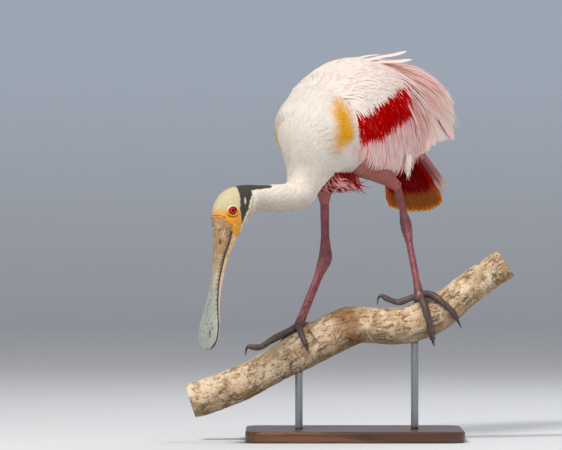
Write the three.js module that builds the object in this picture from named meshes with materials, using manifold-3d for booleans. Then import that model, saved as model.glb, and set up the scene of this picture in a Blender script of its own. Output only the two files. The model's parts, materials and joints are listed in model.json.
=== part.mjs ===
// A roseate spoonbill, life size and still, leaning down from a cut length of branch on a plain stand.
// Millimetres, +Z up. The origin is the middle of the base's underside, and +X runs up along the branch.
import * as THREE from "three";
import Module from "manifold-3d";
import { mergeVertices } from "three/addons/utils/BufferGeometryUtils.js";

const wasm = await Module();
wasm.setup();

// Driving sizes
const GAP = 0.3; // between pieces that touch
const BODY = { x: -4, y: 15, yaw: 55 }; // middle of the trunk from above, turned from -X towards -Y
const NECK_TURN = { from: 85, to: 190, yaw: 28 }; // the neck swings the head round to this yaw
const EYE = { along: 218.5, out: 12.4, up: 305, radius: 6 };
const BILL_SQUARE = 2.7; // how square the bill's section is: 2 is an ellipse
const VANE = 0.65; // thickness of a feather's vane
const STACK = 1.05; // from one feather to the next where they lie flat on each other
const BRANCH_GROOVES = 5;
const BASE = { x: 12, y: 20, long: 290, wide: 210, high: 15, corner: 26, bevel: 3 };
const ROD = { radius: 5, at: [-62, 92] };

// Colours and finishes
const material = (color, roughness, metalness = 0) =>
  new THREE.MeshStandardMaterial({ color, roughness, metalness });
const WHITE_PLUMAGE = material(0xf2ebe0, 0.85);
const PINK_PLUMAGE = material(0xf0bcbc, 0.8);
const RED_PLUMAGE = material(0xb5141c, 0.75);
const PINK_THIGH = material(0xd98c8c, 0.8);
const BARE_HEAD = material(0xe6dcae, 0.6);
const BILL_HORN = material(0xb9b3a0, 0.5);
const EYE_RED = material(0xc8141a, 0.1);
const LEG_SKIN = material(0xa85f66, 0.55);
const CLAW_HORN = material(0x3a3536, 0.5);
const BARK = material(0xa08c70, 0.95);
const WALNUT = material(0x4a3020, 0.5);
const STEEL = material(0x8f9296, 0.35, 1);

const rad = THREE.MathUtils.degToRad;
const { lerp, clamp } = THREE.MathUtils;
const v3 = (x, y, z) => new THREE.Vector3(x, y, z);

// The bird's own upright sheet: f runs forward along its middle, l to its left, z up.
const TURN_RATE = rad(NECK_TURN.yaw - BODY.yaw) / (NECK_TURN.to - NECK_TURN.from);
const yawAt = (f) =>
  rad(BODY.yaw) + TURN_RATE * (clamp(f, NECK_TURN.from, NECK_TURN.to) - NECK_TURN.from);

function leftAt(f) {
  const yaw = yawAt(f);
  return v3(Math.sin(yaw), -Math.cos(yaw), 0);
}

// A point of the sheet in space. The middle line is straight, then an arc, then straight again.
function at(f, l, z) {
  const yaw0 = rad(BODY.yaw);
  const straight = Math.min(f, NECK_TURN.from);
  const yaw = yawAt(f);
  const beyond = Math.max(0, f - NECK_TURN.to);
  const arcX = (Math.sin(yaw) - Math.sin(yaw0)) / TURN_RATE;
  const arcY = (Math.cos(yaw) - Math.cos(yaw0)) / TURN_RATE;
  const x = BODY.x - straight * Math.cos(yaw0) - arcX - beyond * Math.cos(yaw);
  const y = BODY.y - straight * Math.sin(yaw0) + arcY - beyond * Math.sin(yaw);
  return v3(x, y, z).addScaledVector(leftAt(f), l);
}

// Joins rings of points into one closed body, with both ends filled. turned says which columns are split
// along the other diagonal.
function loft(rings, turned = () => false) {
  const n = rings[0].length;
  const points = rings.flat();
  const faces = [];
  for (let i = 0; i + 1 < rings.length; i++)
    for (let j = 0; j < n; j++) {
      const a = i * n + j;
      const b = i * n + ((j + 1) % n);
      if (turned(j)) faces.push(a, b, a + n, b, b + n, a + n);
      else faces.push(a, b, b + n, a, b + n, a + n);
    }
  const last = (rings.length - 1) * n;
  for (let j = 1; j + 1 < n; j++) faces.push(0, j + 1, j, last, last + j, last + j + 1);
  const volume = faces.reduce((sum, _, k) => {
    if (k % 3) return sum;
    const [a, b, c] = [points[faces[k]], points[faces[k + 1]], points[faces[k + 2]]];
    return sum + a.dot(b.clone().cross(c));
  }, 0);
  if (volume < 0) faces.reverse();
  return new THREE.BufferGeometry().setFromPoints(points).setIndex(faces);
}

function solid(geometry) {
  geometry.deleteAttribute("normal");
  geometry.deleteAttribute("uv");
  const merged = mergeVertices(geometry, 1e-4);
  return new wasm.Manifold(
    new wasm.Mesh({
      numProp: 3,
      vertProperties: new Float32Array(merged.attributes.position.array),
      triVerts: new Uint32Array(merged.index.array),
    }),
  );
}

const join = (solids) => wasm.Manifold.union(solids);

// Keeps a solid's largest closed surface.
const largest = (made) =>
  made.decompose().sort((a, b) => b.volume() - a.volume())[0];

const group = new THREE.Group();

function addNode(name, made, finish) {
  const kept = largest(made).getMesh();
  const points = new Float32Array(kept.numVert * 3);
  for (let i = 0; i < kept.numVert; i++)
    points.set(kept.vertProperties.subarray(i * kept.numProp, i * kept.numProp + 3), i * 3);
  const geometry = new THREE.BufferGeometry()
    .setAttribute("position", new THREE.BufferAttribute(points, 3))
    .setIndex(new THREE.BufferAttribute(new Uint32Array(kept.triVerts), 1));
  geometry.computeVertexNormals();
  const mesh = new THREE.Mesh(geometry, finish);
  mesh.name = name;
  group.add(mesh);
}

// A tube along a smooth curve. radii(s) gives its half sizes along fore and across it.
function tube(points, radii, { rings = 8, sides = 8, fore = v3(0, 0, 1) } = {}) {
  const curve = new THREE.CatmullRomCurve3(points, false, "catmullrom", 0.5);
  const made = [];
  for (let i = 0; i <= rings; i++) {
    const s = i / rings;
    const along = curve.getTangent(s);
    const across = along.clone().cross(fore).normalize();
    const front = across.clone().cross(along).normalize();
    const centre = curve.getPoint(s);
    const [deep, wide] = radii(s);
    made.push(
      Array.from({ length: sides }, (_, j) => {
        const a = (2 * Math.PI * (j + 0.5)) / sides;
        return centre
          .clone()
          .addScaledVector(front, deep * Math.cos(a))
          .addScaledVector(across, wide * Math.sin(a));
      }),
    );
  }
  return solid(loft(made));
}

// Straight steps through [s, value, value] rows.
function stepped(rows) {
  return (s) => {
    const k = Math.max(1, rows.findIndex((row) => row[0] >= s));
    const [a, b] = [rows[k - 1], rows[k]];
    const t = (s - a[0]) / (b[0] - a[0]);
    return [lerp(a[1], b[1], t), lerp(a[2], b[2], t)];
  };
}

// The body's outline from rump to bill: back line, belly line and half width, each as f, z and size.
const OUTLINE = [
  { back: [-144, 418], belly: [-134, 392], half: 12 },
  { back: [-140, 434], belly: [-116, 380], half: 28 },
  { back: [-122, 460], belly: [-92, 366], half: 44 },
  { back: [-84, 482], belly: [-64, 355], half: 57 },
  { back: [-38, 496], belly: [-34, 350], half: 63 },
  { back: [6, 493], belly: [0, 349], half: 65 },
  { back: [46, 476], belly: [24, 350], half: 63 },
  { back: [80, 461], belly: [38, 350], half: 60 },
  { back: [103, 440], belly: [47, 348], half: 52 },
  { back: [112, 414], belly: [55, 342], half: 36 },
  { back: [111, 387], belly: [63, 335], half: 27 },
  { back: [108, 365], belly: [72, 327], half: 22 },
  { back: [110, 351], belly: [82, 316], half: 19 },
  { back: [117, 342.5], belly: [99, 307.5], half: 17.6 },
  { back: [130, 339], belly: [120, 304.5], half: 17 },
  { back: [150, 338.5], belly: [146, 304.5], half: 16.5 },
  { back: [170, 338.5], belly: [164, 304], half: 16.5 },
  { back: [190, 339], belly: [179, 300], half: 17.5 },
  { back: [206, 337], belly: [188, 293.5], half: 18.5 },
  { back: [221, 332], belly: [194, 286], half: 18.5 },
  { back: [232, 322], belly: [198.5, 280.5], half: 17 },
  { back: [238.5, 308], belly: [202, 275], half: 14.5 },
  { back: [239.5, 294], belly: [206, 269], half: 12.6 },
];
const LAST = OUTLINE.length - 1;
const backLine = new THREE.CatmullRomCurve3(
  OUTLINE.map(({ back }) => v3(...back, 0)), false, "catmullrom", 0.5,
);
const bellyLine = new THREE.CatmullRomCurve3(
  OUTLINE.map(({ belly, half }) => v3(...belly, half)), false, "catmullrom", 0.5,
);

// Joins between the trunk, the two lengths of neck, the head and the bill, as places in OUTLINE.
const NECK_ROOT = 9.6;
const NECK_MIDDLE = 13;
const NAPE = 17;

function bodyRing(place, sides, grow = 0) {
  const t = clamp(place / LAST, 0, 1);
  const back = backLine.getPoint(t);
  const belly = bellyLine.getPoint(t);
  const [top, bottom] = [at(back.x, 0, back.y), at(belly.x, 0, belly.y)];
  const centre = top.clone().add(bottom).multiplyScalar(0.5);
  const up = top.clone().sub(centre);
  up.setLength(up.length() + grow);
  const side = leftAt((back.x + belly.x) / 2).multiplyScalar(belly.z + grow);
  return Array.from({ length: sides }, (_, j) => {
    const a = (2 * Math.PI * j) / sides;
    return centre
      .clone()
      .addScaledVector(up, Math.cos(a))
      .addScaledVector(side, Math.sin(a));
  });
}

// How far to step from a join so that its two faces lie about one gap apart at their nearest.
function joinStep(place) {
  const step = 0.02;
  const near = (line) =>
    line.getPoint((place + step) / LAST).distanceTo(line.getPoint((place - step) / LAST));
  return (GAP * step) / Math.min(near(backLine), near(bellyLine));
}

function bodyLength(from, to, rings, sides, grow = 0) {
  const start = from > 0 ? from + joinStep(from) : 0;
  const end = to < LAST ? to - joinStep(to) : LAST;
  return solid(
    loft(
      Array.from({ length: rings + 1 }, (_, i) => bodyRing(lerp(start, end, i / rings), sides, grow)),
    ),
  );
}

const trunk = bodyLength(0, NECK_ROOT, 16, 22);
const BACKWARD = v3(Math.cos(rad(BODY.yaw)), Math.sin(rad(BODY.yaw)), 0);
const trunkGrown = join([
  bodyLength(0, NECK_ROOT + 0.6, 17, 22, GAP + 0.35),
  trunk.translate(BACKWARD.clone().multiplyScalar(1.5 * GAP).toArray()),
]);

// The feather cloak of each folded wing: half width, height of the middle and half height along f.
const CLOAK = [
  { f: 72, half: 54, middle: 431, tall: 35 },
  { f: 50, half: 62, middle: 431, tall: 48.5 },
  { f: 25, half: 67, middle: 431, tall: 61 },
  { f: 0, half: 70, middle: 432, tall: 71 },
  { f: -40, half: 70, middle: 431, tall: 76 },
  { f: -85, half: 65, middle: 428, tall: 74 },
  { f: -130, half: 55, middle: 425, tall: 72 },
  { f: -175, half: 42, middle: 421, tall: 69 },
  { f: -215, half: 30, middle: 415, tall: 62 },
  { f: -255, half: 17, middle: 406, tall: 50 },
];
const cloakLine = new THREE.CatmullRomCurve3(
  CLOAK.map(({ half, middle, tall }) => v3(half, middle, tall)), false, "catmullrom", 0.5,
);

function cloakPlace(f) {
  const k = clamp(CLOAK.findIndex((row) => row.f <= f), 1, CLOAK.length - 1);
  const t = clamp((CLOAK[k - 1].f - f) / (CLOAK[k - 1].f - CLOAK[k].f), 0, 1);
  return (k - 1 + t) / (CLOAK.length - 1);
}

const HANG = 0.3; // how far the free edge swings in under the body: 1 follows a full ellipse

// A point of the cloak: angle runs from the side at 0 up to the middle of the back at 90 and down to the
// hanging edge below 0, lift stands off it.
function cloak(side, f, angle, lift) {
  const { x: half, y: middle, z: tall } = cloakLine.getPoint(cloakPlace(f));
  const a = rad(angle);
  const inward = angle < 0 ? HANG : 1;
  const l = (half + lift) * (1 - inward * (1 - Math.cos(a)));
  return at(f, side * l, middle + (tall + lift) * Math.sin(a));
}

// A flat strip that follows a path, as wide as widths says, that turns about the path by tilt past its root.
function strip(path, normals, widths, fullTilt, thick) {
  const rings = path.map((p, i) => {
    const tilt = i > 0 ? fullTilt : 0;
    const along = path[Math.min(i + 1, path.length - 1)].clone().sub(path[Math.max(i - 1, 0)]).normalize();
    const flat = normals[i].clone().cross(along).normalize();
    const out = along.clone().cross(flat).normalize();
    const across = flat.clone().multiplyScalar(Math.cos(tilt)).addScaledVector(out, Math.sin(tilt));
    const up = along.clone().cross(across).normalize();
    const corner = (u, v) =>
      p.clone().addScaledVector(across, (u * widths[i]) / 2).addScaledVector(up, (v * thick) / 2);
    return [corner(-1, -1), corner(1, -1), corner(1, 1), corner(-1, 1)];
  });
  return solid(loft(rings, (j) => j === 2)); // both faces are split alike
}

// A feather's vane widens from its root and ends in a round tip.
const LONG_VANE = { steps: [0, 0.38, 0.72, 0.93, 1], widths: [0.6, 0.95, 1, 0.72, 0.25] };
const SHORT_VANE = { steps: [0, 0.5, 0.88, 1], widths: [0.75, 1, 0.82, 0.25] };
const SHINGLE = rad(10); // the edge away from the back stands up over the next feather

function wingVane(side, root, tip, width, bend = 0, { steps, widths } = LONG_VANE) {
  const place = (s) => {
    const [f, angle, lift] = [0, 1, 2].map((k) => lerp(root[k], tip[k], s));
    return [f, angle + bend * Math.sin(Math.PI * s), lift];
  };
  const path = steps.map((s) => cloak(side, ...place(s)));
  const normals = steps.map((s) => {
    const [f, angle, lift] = place(s);
    return cloak(side, f, angle, lift + 1).sub(cloak(side, f, angle, lift)).normalize();
  });
  return strip(path, normals, widths.map((w) => w * width), -side * SHINGLE, VANE);
}

// Each tier of a wing: how many vanes, the first and last root and tip as f, angle and lift, and the width.
const TIERS = {
  primaries: {
    count: 4, width: 20, bend: -4,
    root: [[-10, 5, -4], [-54, 15, -2]],
    tip: [[-250, -1, -6], [-208, -13, -1]],
  },
  secondaries: {
    count: 8, width: 25, bend: -2,
    root: [[46, -8, -0.5], [-60, 18, -0.5]],
    tip: [[38, -44, 2], [-76, -46, 2]],
  },
  inner_secondaries: {
    count: 4, width: 26, bend: -3,
    root: [[-64, 20, -0.5], [-78, 40, -0.5]],
    tip: [[-96, -38, 2], [-172, -14, 2]],
  },
  tertials: {
    count: 6, width: 27, bend: 3,
    root: [[-66, 42, -0.5], [-62, 78, -0.5]],
    tip: [[-196, -6, 2], [-240, 64, 2]],
  },
  coverts: {
    count: 8, width: 23, bend: -2,
    root: [[50, -8, 0.6], [-72, 24, 0.6]],
    tip: [[42, -36, 4.6], [-118, -16, 4.6]],
  },
  lesser_coverts: {
    count: 8, width: 20, bend: -1,
    root: [[54, -2, 0.6], [-62, 40, 0.6]],
    tip: [[46, -27, 7.4], [-84, 8, 7.4]],
  },
  scapulars: {
    count: 6, width: 24, bend: 2,
    root: [[22, 34, 0.6], [10, 80, 0.6]],
    tip: [[-80, 36, 6.4], [-124, 78, 6.4]],
  },
};
const RUFFLE = { left: 1, right: 0.2 }; // how far the plumes of each side stand up
const PLUMES = [
  { root: [0, 68, 0.6], tip: [-87, 66, 22], width: 14 },
  { root: [-8, 54, 0.6], tip: [-96, 53, 12], width: 15 },
];
const LONG_TIERS = ["secondaries", "tertials", "scapulars"];
const BOW = { secondaries: -22, coverts: -8 }; // the wing's lower edge hangs deepest at mid length

function tierVanes(side, name) {
  const { count, width, bend, root, tip } = TIERS[name];
  return Array.from({ length: count }, (_, i) => {
    const s = i / (count - 1);
    const [from, to] = [root, tip].map((ends) => ends[0].map((a, k) => lerp(a, ends[1][k], s)));
    to[1] += (BOW[name] || 0) * Math.sin(Math.PI * s);
    return wingVane(side, from, to, width, bend, LONG_TIERS.includes(name) ? LONG_VANE : SHORT_VANE);
  });
}

// The arm inside the coverts: a closed sheet between two lifts, from the wrist back past the elbow.
const ARM = {
  front: 66, rear: -104, low: [-18, 12], high: 89.8, inner: -16, outer: 3.6, steps: 10, across: 7,
};

function wingArm(side) {
  const rings = Array.from({ length: ARM.steps + 1 }, (_, i) => {
    const s = i / ARM.steps;
    const f = lerp(ARM.front, ARM.rear, s);
    const low = lerp(...ARM.low, clamp(s * 1.25, 0, 1));
    const edge = 1 - Math.pow(Math.abs(2 * s - 1), 5) * 0.75; // thinner at both ends
    const row = (lift) =>
      Array.from({ length: ARM.across + 1 }, (_, j) =>
        cloak(side, f, lerp(low, ARM.high, j / ARM.across), j === 0 ? Math.min(lift, 1) : lift),
      );
    return [...row(ARM.outer * edge), ...row(ARM.inner).reverse()];
  });
  return solid(loft(rings));
}

function wing(side) {
  const ruffle = side > 0 ? RUFFLE.left : RUFFLE.right;
  const plumes = PLUMES.map(({ root, tip: [f, angle, lift], width }) =>
    wingVane(side, root, [f, angle, lerp(root[2] + 6, lift, ruffle)], width),
  );
  const vanes = Object.keys(TIERS).flatMap((name) => tierVanes(side, name));
  const inward = leftAt(0).multiplyScalar(side); // the two wings meet along the middle of the back
  return join([wingArm(side), ...vanes, ...plumes]).trimByPlane(
    inward.toArray(),
    inward.dot(at(0, 0, 0)) + GAP / 2,
  );
}

// The tail hangs down behind, fanned, its underside forward.
const TAIL = {
  root: [-132, 398], tip: [-176, 305], spread: 20, turn: 3, rootSpread: 10, count: 10, width: 20, cup: 3,
  sink: 0.16,
};
const TAIL_TIERS = [
  { count: TAIL.count, reach: 1, width: TAIL.width, lift: 0, fan: 1, outermost: 1 },
  { count: 6, reach: 0.66, width: 22, lift: 9, fan: 0.85, outermost: -1 },
  { count: 5, reach: 0.72, width: 25, lift: -1.3, fan: 0.85, outermost: -1 },
];

// A point of the tail: across from -1 to 1, along from 0 at the root to 1 at the tip, lift forward of it.
function tailPoint(across, along, lift) {
  const [f0, z0] = TAIL.root;
  const [f1, z1] = TAIL.tip;
  const long = Math.hypot(f1 - f0, z1 - z0);
  const [df, dz] = [(f1 - f0) / long, (z1 - z0) / long];
  const angle = rad(TAIL.spread * across + TAIL.turn);
  const reach = along * long;
  const l = TAIL.rootSpread * across + reach * Math.sin(angle);
  const down = reach * Math.cos(angle);
  const out = lift + TAIL.cup * across * across * along; // the fan's edges lie further forward
  return at(f0 + df * down - dz * out, l, z0 + dz * down + df * out);
}

function tailVane(across, reach, width, lift) {
  const { steps, widths } = SHORT_VANE;
  const place = (s) => [across, lerp(-TAIL.sink, reach, s), lift * Math.min(1, 0.5 + 1.5 * s)];
  const path = steps.map((s) => tailPoint(...place(s)));
  const normals = steps.map((s) => {
    const [a, along, out] = place(s);
    return tailPoint(a, along, out + 1).sub(tailPoint(a, along, out));
  });
  return strip(path, normals, widths.map((w) => w * width), 0, VANE);
}

// Feathers of a tier lie flat on each other, the outermost in front or behind.
function tailTier({ count, reach, width, lift, fan, outermost }) {
  return Array.from({ length: count }, (_, i) => {
    const across = (2 * i) / (count - 1) - 1;
    const rank = Math.abs(i - (count - 1) / 2) + (across > 0 ? 0.5 : 0);
    const out = lift + outermost * STACK * rank;
    return tailVane(across * fan, reach * (1 - 0.07 * across * across), width, out);
  });
}

function tail() {
  const rump = tube(
    [at(-116, 0, 408), at(-130, 0, 394), at(-142, 0, 366)],
    stepped([[0, 17, 26], [0.5, 13, 22], [1, 4, 12]]),
    { rings: 4, sides: 10, fore: at(1, 0, 0).sub(at(0, 0, 0)) },
  );
  const tiers = TAIL_TIERS.flatMap(tailTier);
  return join([rump, ...tiers]).subtract(trunkGrown);
}

// Shaggy plumes under the breast, between the neck and the belly.
const TUFT = { rows: 4, each: 6, long: 27, wide: 10, thick: 1.8 };

function tuftLocks() {
  const locks = [];
  for (let r = 0; r < TUFT.rows; r++)
    for (let c = 0; c < TUFT.each; c++) {
      const wave = Math.sin(7.3 * r + 3.1 * c);
      const f = lerp(56, 14, r / (TUFT.rows - 1)) + 2 * wave;
      const l = lerp(-24, 20, (c + 0.5 * (r % 2)) / (TUFT.each - 0.5));
      const long = TUFT.long * (0.85 + 0.2 * wave);
      const root = at(f, l, 372);
      const middle = at(f - 5, l * 1.12, 352 - 0.25 * long);
      const tip = at(f - 13 - 3 * wave, l * 1.2 + 3 * wave, 352 - long);
      const ahead = at(f + 1, l, 372).sub(root);
      const widths = [1, 1, 0.8, 0.18].map((w) => w * TUFT.wide);
      const path = [root, middle.clone().lerp(root, 0.45), middle, tip];
      locks.push(strip(path, path.map(() => ahead), widths, 0.25 * wave, TUFT.thick));
    }
  return locks;
}

// Legs: knee, end of the feathers, heel joint and foot joint.
const LEGS = {
  left: {
    knee: v3(2, -12, 392), cuff: v3(69.6, 16, 337.8), heel: v3(81.4, 40, 287.5), foot: v3(97.2, -4, 197.4),
    fore: v3(0.15, -1, 0.3), drum: 27,
  },
  right: {
    knee: v3(-30, 6, 380), cuff: v3(-27.6, 33, 318), heel: v3(-26.2, 41, 241.9), foot: v3(-61.7, 3, 153.8),
    fore: v3(-1, -0.25, 0), drum: 20,
  },
};
const SHANK = { deep: 5.7, wide: 4.4, heelDeep: 9.4, heelWide: 7.9 };

// Cuts a solid square across at a point, half a gap short of it, and keeps the part before or after.
function cutAt(made, point, direction, keepAfter) {
  const sign = keepAfter ? 1 : -1;
  const normal = direction.clone().setLength(sign);
  return made.trimByPlane(normal.toArray(), normal.dot(point) + GAP / 2);
}

function thighTube(leg, grow = 0) {
  const size = (share) => [leg.drum * share + grow, leg.drum * share + grow];
  return tube(
    [leg.knee, leg.knee.clone().lerp(leg.cuff, 0.5), leg.cuff],
    stepped([
      [0, ...size(0.15)],
      [0.125, ...size(0.8)],
      [0.25, ...size(1)],
      [0.5, ...size(0.76)],
      [0.8, 10.5 + grow, 10.5 + grow],
      [1, 7.4 + grow, 7.2 + grow],
    ]),
    { rings: 8, sides: 11, fore: leg.fore },
  );
}

function shankTube({ heel, foot, fore }, grow = 0) {
  const lower = foot.clone().sub(heel);
  const { deep, wide, heelDeep, heelWide } = SHANK;
  const above = heel.clone().addScaledVector(lower, -0.03);
  const below = foot.clone().addScaledVector(lower, 0.03);
  return tube(
    [above, heel.clone().lerp(foot, 0.5), below],
    stepped([
      [0, heelDeep - 0.3 + grow, heelWide - 0.2 + grow],
      [0.16, heelDeep - 1.8 + grow, heelWide - 1.4 + grow],
      [0.28, deep + grow, wide + grow],
      [0.8, deep + grow, wide + 0.2 + grow],
      [1, deep + 1.1 + grow, wide + 2.2 + grow],
    ]),
    { rings: 10, sides: 8, fore },
  );
}

function legPieces(name, leg) {
  const { cuff, heel, foot, fore } = leg;
  const [down, lower] = [heel.clone().sub(cuff), foot.clone().sub(heel)];
  const above = cuff.clone().addScaledVector(down, -0.05);
  const below = heel.clone().addScaledVector(down, 0.03);
  const shin = tube(
    [above, cuff.clone().lerp(heel, 0.5), below],
    stepped([
      [0, SHANK.deep + 0.5, SHANK.wide + 0.3],
      [0.6, SHANK.deep, SHANK.wide],
      [0.8, SHANK.heelDeep - 1.6, SHANK.heelWide - 1.6],
      [1, SHANK.heelDeep, SHANK.heelWide],
    ]),
    { rings: 8, sides: 8, fore },
  );
  const middle = down.clone().normalize().add(lower.clone().normalize());
  const thigh = cutAt(thighTube(leg), cuff, down, false).subtract(trunkGrown);
  addNode(`thigh_${name}`, thigh, PINK_THIGH);
  addNode(`shin_${name}`, cutAt(cutAt(shin, cuff, down, true), heel, middle, false), LEG_SKIN);
  addNode(`shank_${name}`, cutAt(cutAt(shankTube(leg), heel, middle, true), foot, lower, false), LEG_SKIN);
}

// The branch: its middle line as x and z, and its radius.
const BRANCH = [
  { x: -206, z: 52, r: 22.5 }, { x: -173, z: 62.5, r: 23 }, { x: -130, z: 80, r: 23.5 },
  { x: -77, z: 109, r: 24.5 }, { x: -29, z: 136, r: 26.5 }, { x: 12, z: 153.5, r: 25.5 },
  { x: 50, z: 152.5, r: 24.5 }, { x: 87, z: 155, r: 24.5 }, { x: 128, z: 174, r: 23.5 },
  { x: 161, z: 199.5, r: 22 }, { x: 194, z: 222.5, r: 20.5 }, { x: 213, z: 235.5, r: 20 },
];
const branchLine = new THREE.CatmullRomCurve3(
  BRANCH.map(({ x, z, r }) => v3(x, r, z)), false, "catmullrom", 0.5,
);

// A place on the branch at one share of its length: angle runs from the top round to the viewer's side.
function onBranch(share, angle, lift) {
  const { x, y: radius, z } = branchLine.getPoint(share);
  const next = branchLine.getPoint(Math.min(1, share + 1e-3));
  const last = branchLine.getPoint(Math.max(0, share - 1e-3));
  const up = v3(-(next.z - last.z), 0, next.x - last.x).normalize();
  const a = rad(angle);
  const grooves = 0.6 * Math.sin(BRANCH_GROOVES * a + 9 * share);
  const swellings = 0.8 * Math.sin(2 * a + 21 * share) + 0.5 * Math.sin(47 * share);
  const out = radius + grooves + swellings + lift;
  return v3(x, 0, z).addScaledVector(up, out * Math.cos(a)).add(v3(0, -out * Math.sin(a), 0));
}

function branch(grow = 0, rings = 26, sides = 14) {
  return solid(
    loft(
      Array.from({ length: rings + 1 }, (_, i) =>
        Array.from({ length: sides }, (_, j) => onBranch(i / rings, (360 * j) / sides, grow)),
      ),
    ),
  );
}

// Toes from the ball of the foot out to where the claw starts, then the claw's middle and point, as x, y, z.
const TOES = {
  left: {
    inner: {
      toe: [[85, -8, 189], [70, -7, 184], [57, -6, 188], [49, -6, 192]],
      claw: [[44, -6, 190.5], [42, -6, 180]], thick: 3.6,
    },
    middle: {
      toe: [[103, -23, 183], [109, -28.5, 163], [113, -24.5, 147], [115, -19, 137]],
      claw: [[116, -16, 131.5], [118, -11, 125]], thick: 4.1,
    },
    outer: {
      toe: [[112, -16, 195], [126, -25.5, 186], [139, -26, 174], [146, -21.5, 164]],
      claw: [[149.5, -19, 158], [153.5, -14, 149.5]], thick: 3.9,
    },
    hind: {
      toe: [[96, 18, 187], [94, 26.5, 171], [92, 29, 156]],
      claw: [[91, 28.5, 149], [90, 25, 141]], thick: 3.3,
    },
  },
  right: {
    inner: {
      toe: [[-62, -14, 151], [-58, -25, 140], [-54, -30, 131]],
      claw: [[-51.5, -31, 125], [-49, -30, 117]], thick: 3.6,
    },
    middle: {
      toe: [[-78, 0, 144], [-99, -1, 133], [-113, -1, 124.5], [-127, -1, 124.5]],
      claw: [[-131.5, -1, 122.5], [-133, -1, 112]], thick: 4,
    },
    outer: {
      toe: [[-72, 15, 147], [-84, 26, 128], [-92, 29, 110]],
      claw: [[-94.5, 28.5, 103], [-96, 25, 95]], thick: 3.8,
    },
    hind: {
      toe: [[-49, 20, 153], [-42, 30.5, 139], [-38, 33, 124]],
      claw: [[-37, 32.5, 117], [-36, 29.5, 109]], thick: 3.3,
    },
  },
};
const branchGrown = branch(GAP + 0.15);

function footPieces(name, leg) {
  const lower = leg.foot.clone().sub(leg.heel);
  const toes = Object.entries(TOES[name]).map(([which, { toe, claw, thick }]) => {
    const [toePath, clawPath] = [toe, claw].map((path) => path.map((p) => v3(...p)));
    const start = leg.foot.clone().addScaledVector(lower, 0.04);
    const end = toePath.at(-1);
    const onward = clawPath[0].clone().sub(end);
    const knuckles = (s) => {
      const bulge = s > 0.2 ? 0.5 * Math.max(0, Math.cos(6 * Math.PI * s)) : 0;
      const r = lerp(thick + 0.9, thick * 0.72, s) + bulge;
      return [r, r];
    };
    const over = end.clone().addScaledVector(onward.clone().normalize(), 1.5);
    const fore = v3(end.y - start.y, start.x - end.x, 0).normalize(); // level, square to the toe
    const toeTube = tube([start, ...toePath.slice(0, -1), over], knuckles, { rings: 6, sides: 6, fore });
    const clawTube = tube(
      [end.clone().addScaledVector(onward.clone().normalize(), -1), ...clawPath],
      (s) => [lerp(thick * 0.7, 0.35, s), lerp(thick * 0.6, 0.3, s)],
      { rings: 3, sides: 5, fore },
    );
    addNode(`claw_${name}_${which}`, cutAt(clawTube, end, onward, true).subtract(branchGrown), CLAW_HORN);
    return cutAt(toeTube, end, onward, false);
  });
  const sole = tube(
    [leg.foot.clone().addScaledVector(lower, -0.02), leg.foot.clone().addScaledVector(lower, 0.1)],
    () => [SHANK.deep + 1.2, SHANK.wide + 2.4],
    { rings: 2, sides: 9, fore: leg.fore },
  );
  const shankEnd = leg.foot.clone().addScaledVector(lower.clone().normalize(), GAP);
  return join([sole, ...toes]).subtract(cutAt(shankTube(leg, GAP), shankEnd, lower, false));
}

// The head, with eye sockets and a raised lid round each eye.
function eyeCentre(side, out = EYE.out) {
  return at(EYE.along, side * out, EYE.up);
}

function ball(centre, radius, detail = 10) {
  const sphere = new THREE.SphereGeometry(radius, detail, Math.round(detail * 0.7));
  return solid(sphere.translate(centre.x, centre.y, centre.z));
}

function lid(side) {
  const ring = new THREE.TorusGeometry(EYE.radius - 0.6, 1.2, 5, 10);
  const out = leftAt(EYE.along).multiplyScalar(side).add(v3(-0.12, 0, 0.1)).normalize();
  ring.applyQuaternion(new THREE.Quaternion().setFromUnitVectors(v3(0, 0, 1), out));
  const centre = eyeCentre(side, EYE.out + 4.2);
  return solid(ring.translate(centre.x, centre.y, centre.z));
}

function head() {
  const skull = bodyLength(NAPE, LAST, 10, 18);
  const sockets = [1, -1].map((side) => ball(eyeCentre(side), EYE.radius + GAP));
  return join([skull, lid(1), lid(-1)]).subtract(join(sockets));
}

// The bill: middle line as f and z, half depth and half width, and where the mouth line lies in its depth.
const BILL = [
  { f: 222.95, z: 281.2, deep: 20.9, half: 12.3, mouth: 0.3 },
  { f: 224.3, z: 262, deep: 13.2, half: 10.3, mouth: 0.22 },
  { f: 227.5, z: 246, deep: 9.6, half: 9.2, mouth: 0.05 },
  { f: 230.7, z: 231, deep: 7.8, half: 8.8, mouth: -0.05 },
  { f: 235.4, z: 209, deep: 6.3, half: 10, mouth: -0.12 },
  { f: 240.2, z: 181, deep: 5.2, half: 16, mouth: -0.1 },
  { f: 243.6, z: 158, deep: 5, half: 24.5, mouth: -0.1 },
  { f: 245.6, z: 142, deep: 4.6, half: 25.5, mouth: -0.1 },
  { f: 246.6, z: 132, deep: 3.9, half: 20, mouth: -0.08 },
  { f: 247.2, z: 126.5, deep: 3, half: 11.5, mouth: -0.05 },
  { f: 247.4, z: 125, deep: 2, half: 6, mouth: 0 },
];
const billLine = new THREE.CatmullRomCurve3(
  BILL.map(({ f, z, deep }) => v3(f, z, deep)), false, "catmullrom", 0.5,
);
const billShape = new THREE.CatmullRomCurve3(
  BILL.map(({ half, mouth }) => v3(half, mouth, 0)), false, "catmullrom", 0.5,
);
const BILL_TILT = { root: 36.7, end: 7, over: 0.2 }; // how far the sections lean, easing along the bill

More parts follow.
